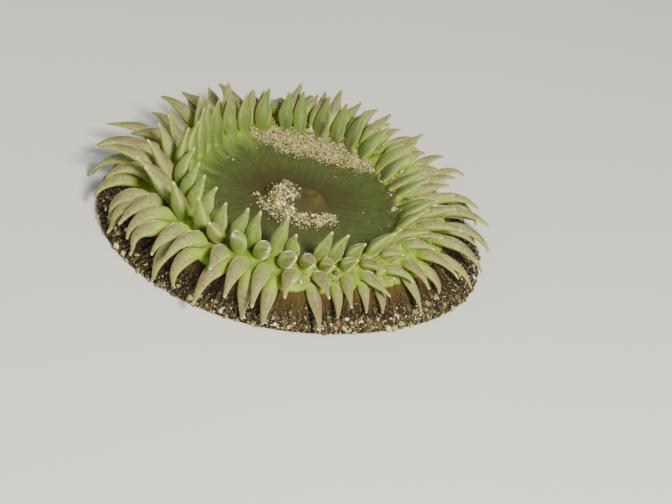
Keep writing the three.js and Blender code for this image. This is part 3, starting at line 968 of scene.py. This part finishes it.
thin = flesh.shader(
    Specular_IOR_Level=0.3,
    Subsurface_Weight=0.7,
    Subsurface_Scale=1.6 * mm,
    Sheen_Weight=1.0,
    Sheen_Roughness=0.25,
    Sheen_Tint=(1, 1, 0.55, 1),
    **look,
)
on_tentacle = flesh.rise(along, 0.0, 0.2)
wear(skin, flesh.done(flesh.node("MixShader", values={"Fac": on_tentacle, 1: thick, 2: thin})))
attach(skin, "root")
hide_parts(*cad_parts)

# %% [markdown]
# ## Where things can stick
# The trunk is covered with warts and grit and the disc holds sand, and all of it has to lie exactly
# on the skin. A BVH tree is a quick index of a mesh's faces that tells the nearest point of them, or
# where a ray meets them. The tentacles are left out of it, or the grit would land on those that hang
# in front of the trunk.

# %% The trunk's and the disc's surfaces
# The limits of the trunk and the disc. No point of the skin has just these values, which a rounding
# error would put now on one side and now on the other.
TENTACLE_STARTS = 0.02
TRUNK_STARTS = 0.31
UNDERSIDE_HEIGHT = 0.3 * mm

skin_faces = np.empty(len(skin.data.loops), np.int32)
skin.data.loops.foreach_get("vertex_index", skin_faces)
skin_faces = skin_faces.reshape(-1, 4)


def faces_where(chosen):
    """The faces of the skin whose four corners are all chosen."""
    return skin_faces[chosen[skin_faces].all(axis=1)]


off_tentacles = skin_trait("along") < TENTACLE_STARTS
above_trunk = skin_trait("trunk") < TRUNK_STARTS
trunk_faces = faces_where(off_tentacles & ~above_trunk & (skin_points[:, 2] > UNDERSIDE_HEIGHT))
disc_faces = faces_where(off_tentacles & above_trunk)
trunk_surface = BVHTree.FromPolygons(skin_points.tolist(), trunk_faces.tolist())
disc_surface = BVHTree.FromPolygons(skin_points.tolist(), disc_faces.tolist())
print("faces on the trunk:", len(trunk_faces), "and on the disc:", len(disc_faces))

# %% [markdown]
# ## One bit, copied thousands of times
# Warts, pebbles, shell flakes and sand grains are each modelled once or a few times, from a primitive that
# is knocked out of true in edit mode. Copies are then turned, sized and set on the skin, and all the copies
# of a kind are joined into one mesh. Every copy carries a random pick, from which the finish chooses its
# colour. The dice are seeded, so the same bits fall in the same places every time.

# %% Modelling and strewing bits
# Edges that are bent by more than this stay sharp.
SHARP_EDGE = radians(50)


def bit_shape(fineness, squash, jitter, seed):
    """A rough lump about one unit across: its points and its faces."""
    deselect_all()
    bpy.ops.mesh.primitive_ico_sphere_add(subdivisions=fineness, radius=0.5)
    bit = new_piece("bit")
    edit(bit)
    bpy.ops.mesh.select_all(action="SELECT")
    bpy.ops.transform.vertex_random(offset=jitter, uniform=1, seed=seed)
    bpy.ops.transform.resize(value=squash)
    bpy.ops.object.mode_set(mode="OBJECT")
    return taken(bit)


def taken(bit):
    """The points and faces of a bit, which is then put away."""
    points = np.array([point.co for point in bit.data.vertices])
    faces = [tuple(face.vertices) for face in bit.data.polygons]
    bpy.data.meshes.remove(bit.data)
    return points, faces


def frames_on(normals, dice, tilt):
    """Three directions for each bit: two along the surface, spun by chance, and one off it."""
    count = len(normals)
    up = normals + tilt * dice.normal(size=(count, 3))
    up /= length_of(up)
    side = np.cross(up, dice.normal(size=(count, 3)))
    side /= length_of(side)
    return np.stack((side, np.cross(up, side), up), axis=1)


def strew(name, shapes, spots, normals, sizes, seed, tilt=0.3, sink=0.25, slot="grit"):
    """Joins a copy of one of the shapes at every spot into one piece, sunk into the skin by a share of
    its height. A bit that would dip into the floor is lifted onto it."""
    dice = np.random.default_rng(seed)
    turns = frames_on(normals, dice, tilt)
    kinds = dice.integers(len(shapes), size=len(spots))
    picks = dice.random(len(spots))
    all_points, all_faces, all_picks, first = [], [], [], 0
    for spot, normal, size, turn, kind, pick in zip(spots, normals, sizes, turns, kinds, picks):
        points, faces = shapes[kind]
        lift = normal * size * (0.5 - sink) * np.ptp(points[:, 2])
        placed = points * size @ turn + spot + lift
        placed[:, 2] += max(-placed[:, 2].min(), 0)
        all_points.append(placed)
        all_faces.extend([tuple(first + corner for corner in face) for face in faces])
        all_picks.append(np.full(len(points), pick))
        first += len(points)
    mesh = bpy.data.meshes.new(name)
    mesh.from_pydata(np.concatenate(all_points).tolist(), [], all_faces)
    pick_trait = mesh.attributes.new("pick", "FLOAT", "POINT")
    pick_trait.data.foreach_set("value", np.concatenate(all_picks))
    piece = bpy.data.objects.new(name, mesh)
    bpy.context.scene.collection.objects.link(piece)
    deselect_all()
    bpy.context.view_layer.objects.active = piece
    piece.select_set(True)
    bpy.ops.object.shade_smooth_by_angle(angle=SHARP_EDGE)
    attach(piece, "root")
    print(name + ":", len(spots), "bits,", len(all_faces), "faces")
    return piece


# %% [markdown]
# ## Warts
# The trunk of this anemone is set with rows of small sticky warts, closest together near the
# margin. A wart is a squashed ball with a dimple in the top. A hundred and fifty rows of them run
# down the trunk, and chance moves each one a little out of line.

# %% Warts
WART_ROWS = 150
WARTS_IN_ROW = 12
WART_SIZE = 1.9 * mm
# The radius and height of the highest and the lowest warts.
WART_TOP, WART_BOTTOM = (80 * mm, 16 * mm), (97 * mm, 2.5 * mm)
# The trunk's flank is hollow: going down it, the radius grows late and the height falls early.
OUT_BEND, DOWN_BEND = 1.2, 0.7


def down_flank(top, bottom, share):
    """The radius and height at a share of the way down the trunk, in the round layout."""
    return blend(top[0], bottom[0], share ** OUT_BEND), blend(top[1], bottom[1], share ** DOWN_BEND)


def wart_shape():
    """A squashed ball about one unit across, whose top point is pushed in."""
    deselect_all()
    bpy.ops.mesh.primitive_uv_sphere_add(segments=8, ring_count=5, radius=0.5)
    wart = new_piece("wart")
    edit(wart)
    select_where(wart, "VERT", lambda point: point.co.z > 0.49)
    bpy.ops.transform.translate(value=(0, 0, -0.22))
    bpy.ops.mesh.select_all(action="SELECT")
    bpy.ops.transform.resize(value=(1, 1, 0.6))
    bpy.ops.object.mode_set(mode="OBJECT")
    return taken(wart)


def wart_spots(dice):
    """Where the warts sit on the trunk, which way they face and how big they are."""
    spots, normals, sizes = [], [], []
    for row in range(WART_ROWS):
        for number in range(WARTS_IN_ROW):
            down = (number + 0.5 * (row % 2) + 0.4 * dice.random()) / WARTS_IN_ROW
            turn = 2 * pi * (row + 0.5 * dice.random()) / WART_ROWS
            radius, height = down_flank(WART_TOP, WART_BOTTOM, down)
            spot, normal, _, _ = trunk_surface.find_nearest(Vector(settle(radius, turn, height)))
            spots.append(spot)
            normals.append(normal)
            sizes.append(WART_SIZE * (0.6 + 0.6 * dice.random()))
    return np.array(spots), np.array(normals), np.array(sizes)


warts = strew(
    "column_warts", [wart_shape()], *wart_spots(np.random.default_rng(3)),
    seed=4, tilt=0.1, sink=0.3, slot="column_skin",
)

# %% [markdown]
# ## Grit on the trunk
# The warts hold on to whatever the waves bring, which shades the animal and keeps it damp at low
# tide: gravel, broken shell and sand. Grit is thickest near the foot. A spot for each bit is drawn
# by chance, is kept or dropped by a second throw, so that more lie where grit gathers, and is then
# moved to the nearest point of the trunk.

# %% Grit on the trunk
# The radius and height of the highest and the lowest grit, and the heights between which it thins.
GRIT_TOP, GRIT_BOTTOM = (79 * mm, 16.5 * mm), (97.5 * mm, 0.8 * mm)
GRIT_THINS = (1 * mm, 11 * mm)
GRIT_FRONT_RIGHT = 310
# The least share of grit high up, and away from the front right.
GRIT_LEFT_HIGH, GRIT_LEFT_BEHIND = 0.03, 0.25
# About the greatest that the two together come to.
GRIT_MOST = 1.29


def down_trunk(share, turn):
    """A place on the trunk, in the round layout, a share of the way down from the margin."""
    radius, height = down_flank(GRIT_TOP, GRIT_BOTTOM, share)
    return radius, turn, height


def grit_weight(radius, turn, height):
    """How much grit gathers: thickest low down, and at the front right."""
    low = 1 - smooth(*GRIT_THINS, height)
    front_right = 0.5 + 0.5 * cos(turn - radians(GRIT_FRONT_RIGHT))
    return (GRIT_LEFT_HIGH + low) * (GRIT_LEFT_BEHIND + front_right) / GRIT_MOST


def drawn_spots(surface, place, weight, count, dice):
    """Spots drawn by chance on a surface, more where the weight is greater, and the way each faces."""
    spots, normals = [], []
    while len(spots) < count:
        radius, turn, height = place(dice.random(), 2 * pi * dice.random())
        if dice.random() < weight(radius, turn, height):
            spot, normal, _, _ = surface.find_nearest(Vector(settle(radius, turn, height)))
            spots.append(spot)
            normals.append(normal)
    return np.array(spots), np.array(normals)


def sizes_between(small, large, count, dice, lean=2.0):
    """Sizes drawn by chance, most of them near the small end."""
    return blend(small, large, dice.random(count) ** lean)


def strew_over(where, dice, name, shapes, count, small, large, lean, seed):
    """Strews bits by chance over a surface."""
    spots, normals = drawn_spots(*where, count, dice)
    return strew(name, shapes, spots, normals, sizes_between(small, large, count, dice, lean), seed)


# Each shape's fineness, its three sides, how far its points are knocked about, and its seeds.
pebble_shapes = [bit_shape(2, (1, 0.8, 0.6), 0.12, seed) for seed in range(4)]
flake_shapes = [bit_shape(2, (1, 0.65, 0.18), 0.16, seed) for seed in range(10, 14)]
grain_shapes = [bit_shape(1, (1, 0.8, 0.7), 0.16, seed) for seed in range(20, 26)]

# Each kind's name, shapes, count, least and greatest size, lean towards the small end, and seed.
TRUNK_GRIT = (
    ("column_pebbles", pebble_shapes, 330, 1 * mm, 3.4 * mm, 3, 12),
    ("column_shell_flakes", flake_shapes, 360, 0.8 * mm, 3.2 * mm, 3, 13),
    ("column_sand", grain_shapes, 2600, 0.4 * mm, 1 * mm, 2, 14),
)
dice = np.random.default_rng(11)
all_trunk = (trunk_surface, down_trunk, grit_weight)
column_pebbles, column_flakes, column_sand = [strew_over(all_trunk, dice, *kind) for kind in TRUNK_GRIT]

# %% [markdown]
# ## Sand on the disc
# Sand that has settled on the animal is carried off by slime. Here a coarse heap lies on the front
# of the mouth, with a tail to the right, and a drift of fine sand has gathered along the back of
# the disc. Thousands of grains alone would show the skin between them. So the body of each is a thin
# cake: a grid that is dropped on to the skin, cut to a ragged outline and given a wall.

# %% Sand cakes
# The lumps of each heap of sand: middle right and back, radius and thickness, all in millimetres.
MOUTH_LUMPS = (
    (-4.5, -2, 6.8, 2.4), (-7, -9.5, 7.6, 3.0), (-3, -15.5, 6.8, 2.6), (5, -16.8, 5.2, 2.2),
    (12, -14.8, 5.2, 2.0), (18, -11.2, 4.6, 1.8), (-13, -11, 3.2, 1.2), (-16, -7, 2.0, 0.9),
    (-19, -3, 1.8, 0.8), (-6, 5.5, 2.4, 0.9),
)
BACK_LUMPS = (
    (-33, 47, 4, 0.8), (-27, 47, 6, 1.2), (-19, 46, 7, 1.6), (-10, 44, 7.5, 1.8), (-1, 44, 8, 2.0),
    (8, 43, 7, 1.8), (16, 41, 6.5, 1.6), (24, 38, 5, 1.4), (30, 36, 4.5, 1.2), (35, 34, 3, 1.0),
)
# The squares of a cake's grid, how thick the sand is at its cut edge, its wall, how deep it is sunk,
# and the height that things are dropped on the skin from.
CAKE_SQUARE = 0.8 * mm
CAKE_SKIRT = 0.25 * mm
CAKE_WALL = 1.2 * mm
CAKE_SINK = 0.5 * mm
DROP_HEIGHT = 60 * mm
# The edge of a heap is ragged, by noise with so many lumps to the metre and so many mm deep.
RAGGED_LUMPS, RAGGED_DEPTH = 240, 1.1


def sand_depth(lumps, x, y):
    """How thick the sand lies at a spot. It is less than nothing outside the heap."""
    depth = -1.0
    for right, back, radius, thickness in lumps:
        away = hypot(x / mm - right, y / mm - back) / radius
        depth = max(depth, thickness * (1 - away * away))
    ragged = mathutils.noise.fractal(Vector((x, y, 0)) * RAGGED_LUMPS, 1, 2, 3) * RAGGED_DEPTH
    return (depth + ragged) * mm


def dropped(x, y):
    """Where a grain that is dropped on the disc comes to rest, and the way it faces there."""
    spot, normal, _, _ = disc_surface.ray_cast(Vector((x, y, DROP_HEIGHT)), Vector((0, 0, -1)))
    return spot, normal


def sand_cake(name, lumps):
    """The body of a heap of sand, which follows the skin under it."""
    lump_array = np.array(lumps) * mm
    low = (lump_array[:, :2] - lump_array[:, 2:3]).min(axis=0)
    high = (lump_array[:, :2] + lump_array[:, 2:3]).max(axis=0)
    size, middle = high - low, (high + low) / 2
    deselect_all()
    bpy.ops.mesh.primitive_grid_add(
        x_subdivisions=int(size[0] / CAKE_SQUARE),
        y_subdivisions=int(size[1] / CAKE_SQUARE),
        size=1,
        location=(middle[0], middle[1], 0),
    )
    cake = new_piece(name)
    cake.scale = (size[0], size[1], 1)
    bpy.ops.object.transform_apply()
    edit(cake)
    shape = bmesh.from_edit_mesh(cake.data)
    bare = set()
    for point in shape.verts:
        depth = sand_depth(lumps, point.co.x, point.co.y)
        spot, _ = dropped(point.co.x, point.co.y)
        if depth < CAKE_SKIRT or not spot:
            bare.add(point.index)
        if spot:
            point.co.z = spot.z + max(depth, CAKE_SKIRT) - CAKE_SINK
    bmesh.update_edit_mesh(cake.data)
    select_where(cake, "FACE", lambda face: any(corner.index in bare for corner in face.verts))
    bpy.ops.mesh.delete(type="FACE")
    bpy.ops.object.mode_set(mode="OBJECT")
    wall = cake.modifiers.new("wall", "SOLIDIFY")
    wall.thickness = CAKE_WALL
    wall.offset = -1
    bpy.ops.object.modifier_apply(modifier=wall.name)
    bpy.ops.object.shade_smooth()
    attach(cake, "root")
    print(name + ":", len(cake.data.polygons), "faces")
    return cake


mouth_cake = sand_cake("mouth_sand_cake", MOUTH_LUMPS)
back_cake = sand_cake("back_sand_cake", BACK_LUMPS)

# %% [markdown]
# ## Grains on the sand
# Grains of all sorts are strewn over the cakes, thickest in the middle of each lump. On the mouth the
# sand is coarse and mixed with broken shell, and at the back it is fine, with hardly a pebble in it.

# %% Grains on the cakes
# How far grains stray from the middle of a lump, as a share of its radius, and how far past the
# heap's edge they lie, as the depth that the sand would have there.
STRAY = 0.6
PAST_EDGE = -1.4 * mm


def strew_sand(name, shapes, lumps, count, small, large, seed):
    """Strews bits over a heap of sand, thinning out past its edge."""
    dice = np.random.default_rng(seed)
    lump_array = np.array(lumps) * mm
    area = lump_array[:, 2] ** 2
    spots, normals = [], []
    while len(spots) < count:
        right, back, radius, _ = lump_array[dice.choice(len(lumps), p=area / area.sum())]
        x, y = (right, back) + dice.normal(size=2) * radius * STRAY
        depth = sand_depth(lumps, x, y)
        spot, normal = dropped(x, y)
        if spot and depth > PAST_EDGE * dice.random() ** 3:
            spots.append((spot.x, spot.y, spot.z + max(depth, 0)))
            normals.append(normal)
    sizes = sizes_between(small, large, count, dice)
    return strew(
        name, shapes, np.array(spots), np.array(normals), sizes, seed + 1, tilt=0.7, sink=0.35
    )


# Each kind's name, shapes, heap, count, least and greatest size, and seed.
HEAP_GRIT = (
    ("mouth_sand", grain_shapes, MOUTH_LUMPS, 3300, 0.5 * mm, 1.3 * mm, 30),
    ("mouth_shell_flakes", flake_shapes, MOUTH_LUMPS, 130, 1.2 * mm, 3 * mm, 32),
    ("mouth_pebbles", pebble_shapes, MOUTH_LUMPS, 40, 1.2 * mm, 2.8 * mm, 34),
    ("back_sand", grain_shapes, BACK_LUMPS, 6800, 0.4 * mm, 0.95 * mm, 36),
    ("back_pebbles", pebble_shapes, BACK_LUMPS, 26, 1.2 * mm, 2.8 * mm, 38),
)
mouth_sand, mouth_flakes, mouth_pebbles, back_sand, back_pebbles = [
    strew_sand(*kind) for kind in HEAP_GRIT
]

# %% [markdown]
# ## Loose bits on the crown and the disc
# A few bigger bits have lodged between the roots of the tentacles at the back and on the right, and
# single grains lie about on the disc.

# %% Loose bits
# Where on the web bits begin to lodge, the angle where most of them do, in degrees, and how much.
WEB_STARTS = DISC_RADIUS + 2 * mm
WEB_MOST_AT, WEB_MOST = 60, 3
# The radii between which grains begin to lie about on the disc.
GRAINS_BEGIN = (25 * mm, 40 * mm)
# Where clusters have lodged between the roots: millimetres to the right and to the back.
LODGED = (
    (-28, 46), (-12, 55), (-4, 56), (3, 54), (10, 54), (19, 50), (41, 28), (47, 17), (49, 4), (43, 43),
    (15, -72), (31, -60), (43, -49),
)


def over_web(share, turn):
    """A place on the web that the tentacles grow from, in the round layout."""
    radius = blend(WEB_STARTS, MARGIN_RADIUS, share)
    return radius, turn, crest_height(radius)


def over_disc(share, turn):
    """A place on the disc, spread evenly over it, in the round layout."""
    return DISC_RADIUS * share ** 0.5, turn, CREST_HEIGHT


def back_right(radius, turn, height):
    """More of them towards the back and the right."""
    return (0.5 + 0.5 * cos(turn - radians(WEB_MOST_AT))) ** WEB_MOST


def clear_of_mouth(radius, turn, height):
    """None close to the mouth."""
    return smooth(*GRAINS_BEGIN, radius)


def strew_clusters(dice, name, shapes, count, spread, small, large, seed):
    """Strews bits round each place where some have lodged."""
    spots, normals = [], []
    for right, back in LODGED:
        for _ in range(count):
            x, y = (right, back) + dice.normal(size=2) * spread
            spot, normal, _, _ = disc_surface.find_nearest(Vector((x * mm, y * mm, CREST_HEIGHT)))
            spots.append(spot)
            normals.append(normal)
    sizes = sizes_between(small, large, len(spots), dice)
    return strew(name, shapes, np.array(spots), np.array(normals), sizes, seed)


# Each kind's name, shapes, count, least and greatest size, lean towards the small end, and seed.
WEB_GRIT = (
    ("crown_pebbles", pebble_shapes, 60, 1 * mm, 3.6 * mm, 2, 51),
    ("crown_sand", grain_shapes, 420, 0.5 * mm, 1.2 * mm, 2, 52),
    ("crown_shell_flakes", flake_shapes, 40, 1 * mm, 3.8 * mm, 2, 53),
)
DISC_GRIT = ("disc_grains", grain_shapes, 70, 0.5 * mm, 1.3 * mm, 2, 54)
# Each kind's name, shapes, count in each cluster, spread in mm, least and greatest size, and seed.
CLUSTERS = (
    ("lodged_pebbles", pebble_shapes, 3, 1.2, 1.6 * mm, 3.6 * mm, 55),
    ("lodged_shell_flakes", flake_shapes, 3, 1.2, 1.6 * mm, 4.2 * mm, 56),
    ("lodged_sand", grain_shapes, 60, 1.9, 0.5 * mm, 1.1 * mm, 57),
)
dice = np.random.default_rng(50)
all_web = (disc_surface, over_web, back_right)
all_disc = (disc_surface, over_disc, clear_of_mouth)
crown_pebbles, crown_sand, crown_flakes = [strew_over(all_web, dice, *kind) for kind in WEB_GRIT]
disc_grains = strew_over(all_disc, dice, *DISC_GRIT)
lodged_pebbles, lodged_flakes, lodged_sand = [strew_clusters(dice, *kind) for kind in CLUSTERS]

# %% [markdown]
# ## The grit's finishes
# Each bit takes its colour from its own random pick, by way of a ramp with hard steps, as if it
# were drawn from a bag of mixed stones.

# %% Grit finishes
def grit_finish(name, colours, roughness, grain):
    """A finish for mixed bits, which takes each bit's colour from a bag of colours."""
    finish = Finish(name)
    place = finish.place()
    bag = finish.node("ValToRGB", values={"Fac": finish.trait("pick")})
    ramp = bag.socket.node.color_ramp
    ramp.interpolation = "CONSTANT"
    for number, colour in enumerate(colours):
        stop = ramp.elements[number] if number < 2 else ramp.elements.new(number / len(colours))
        stop.position = number / len(colours)
        stop.color = colour
    speck = finish.noise(place, grain, 3, 0.6)
    colour = finish.mix(bag, paint(40, 34, 26), finish.rise(speck, 0.5, 0.8) * 0.55)
    colour = finish.mix(colour, paint(226, 216, 170), finish.rise(speck, 0.5, 0.15) * 0.25)
    relief = finish.bump(speck, 0.15 * mm)
    return finish.surface(Base_Color=colour, Roughness=roughness + (speck - 0.5) * 0.3, Normal=relief)


STONES = (
    paint(66, 64, 54), paint(146, 122, 62), paint(54, 50, 40), paint(168, 144, 80), paint(104, 84, 46),
    paint(84, 82, 68), paint(166, 112, 44), paint(126, 120, 90), paint(40, 38, 34), paint(196, 178, 120),
    paint(112, 94, 52), paint(80, 70, 46),
)
SHELLS = (
    paint(238, 230, 200), paint(220, 204, 158), paint(200, 178, 130), paint(244, 238, 216),
    paint(190, 170, 124), paint(150, 138, 116), paint(226, 210, 150), paint(128, 112, 80),
    paint(100, 88, 62), paint(170, 152, 104),
)
SANDS = (
    paint(176, 168, 98), paint(124, 118, 64), paint(204, 198, 132), paint(74, 70, 38), paint(146, 138, 76),
    paint(40, 40, 28), paint(178, 176, 122), paint(130, 112, 58), paint(102, 102, 62), paint(230, 226, 168),
    paint(56, 58, 40), paint(128, 126, 82), paint(46, 52, 50), paint(88, 82, 44),
)
FINE_SANDS = (
    paint(156, 148, 88), paint(122, 116, 68), paint(176, 168, 104), paint(86, 82, 48), paint(142, 132, 76),
    paint(196, 190, 126), paint(66, 62, 40), paint(160, 150, 88), paint(112, 108, 70), paint(214, 208, 152),
)
stone_finish = grit_finish("mixed_gravel", STONES, 0.55, 900)
shell_finish = grit_finish("broken_shell", SHELLS, 0.4, 700)
sand_finish = grit_finish("coarse_sand", SANDS, 0.6, 1500)
fine_sand_finish = grit_finish("fine_sand", FINE_SANDS, 0.65, 1800)
for piece in (column_pebbles, back_pebbles, crown_pebbles, lodged_pebbles):
    wear(piece, stone_finish)
for piece in (column_flakes, mouth_flakes, crown_flakes, lodged_flakes):
    wear(piece, shell_finish)
for piece in (column_sand, mouth_sand, mouth_pebbles, crown_sand, lodged_sand, disc_grains):
    wear(piece, sand_finish)
wear(back_sand, fine_sand_finish)

# %% [markdown]
# ## Packed sand and wart skin
# Between its loose grains, a cake is packed sand. Voronoi noise splits its surface into cells as
# small as grains, each with its own shade and its own little hump. A wart has skin of its own, a
# little clearer than the trunk's.

# %% Packed sand and wart skin
CAKE_GRAINS = 1500.0


def cake_finish(name, dark, light):
    """Packed sand, speckled grain by grain."""
    finish = Finish(name)
    place = finish.place()
    cells = finish.node("TexVoronoi", values={"Vector": place, "Scale": CAKE_GRAINS}, out="Color")
    speck = finish.node("SeparateXYZ", values={"Vector": cells}, out="X")
    hollow = finish.node("TexVoronoi", values={"Vector": place, "Scale": CAKE_GRAINS}, out="Distance")
    return finish.surface(
        Base_Color=finish.mix(dark, light, speck),
        Roughness=0.7 + 0.1 * speck,
        Normal=finish.bump(1 - hollow, 0.3 * mm),
    )


wear(mouth_cake, cake_finish("coarse_cake", paint(36, 34, 22), paint(92, 86, 54)))
wear(back_cake, cake_finish("fine_cake", paint(86, 80, 56), paint(160, 146, 108)))


def wart_finish():
    """Wart skin: brown and a little clear, each wart its own shade."""
    finish = Finish("wart_skin")
    place = finish.place()
    pick = finish.trait("pick")
    colour = finish.mix(paint(44, 38, 22), paint(86, 74, 40), pick)
    colour = finish.mix(colour, paint(40, 32, 20), finish.rise(finish.noise(place, 160, 2), 0.45, 0.7))
    return finish.surface(
        Base_Color=colour,
        Roughness=0.45 + 0.1 * pick,
        Normal=finish.bump(finish.noise(place, 2200), 0.1 * mm),
        Subsurface_Weight=0.3,
        Subsurface_Scale=0.8 * mm,
    )


wear(warts, wart_finish())

# %% [markdown]
# ## The floor's finish
# A sheet of matt paper, clouded so slightly that it only keeps the floor from looking like nothing.

# %% The floor's finish
def floor_finish():
    """Pale matt paper."""
    finish = Finish("pale_floor")
    cloud = finish.noise(finish.place(), 3, 2)
    colour = finish.mix(paint(205, 203, 198), paint(214, 212, 208), cloud)
    return finish.surface(Base_Color=colour, Roughness=0.75)


wear(floor_sheet, floor_finish())
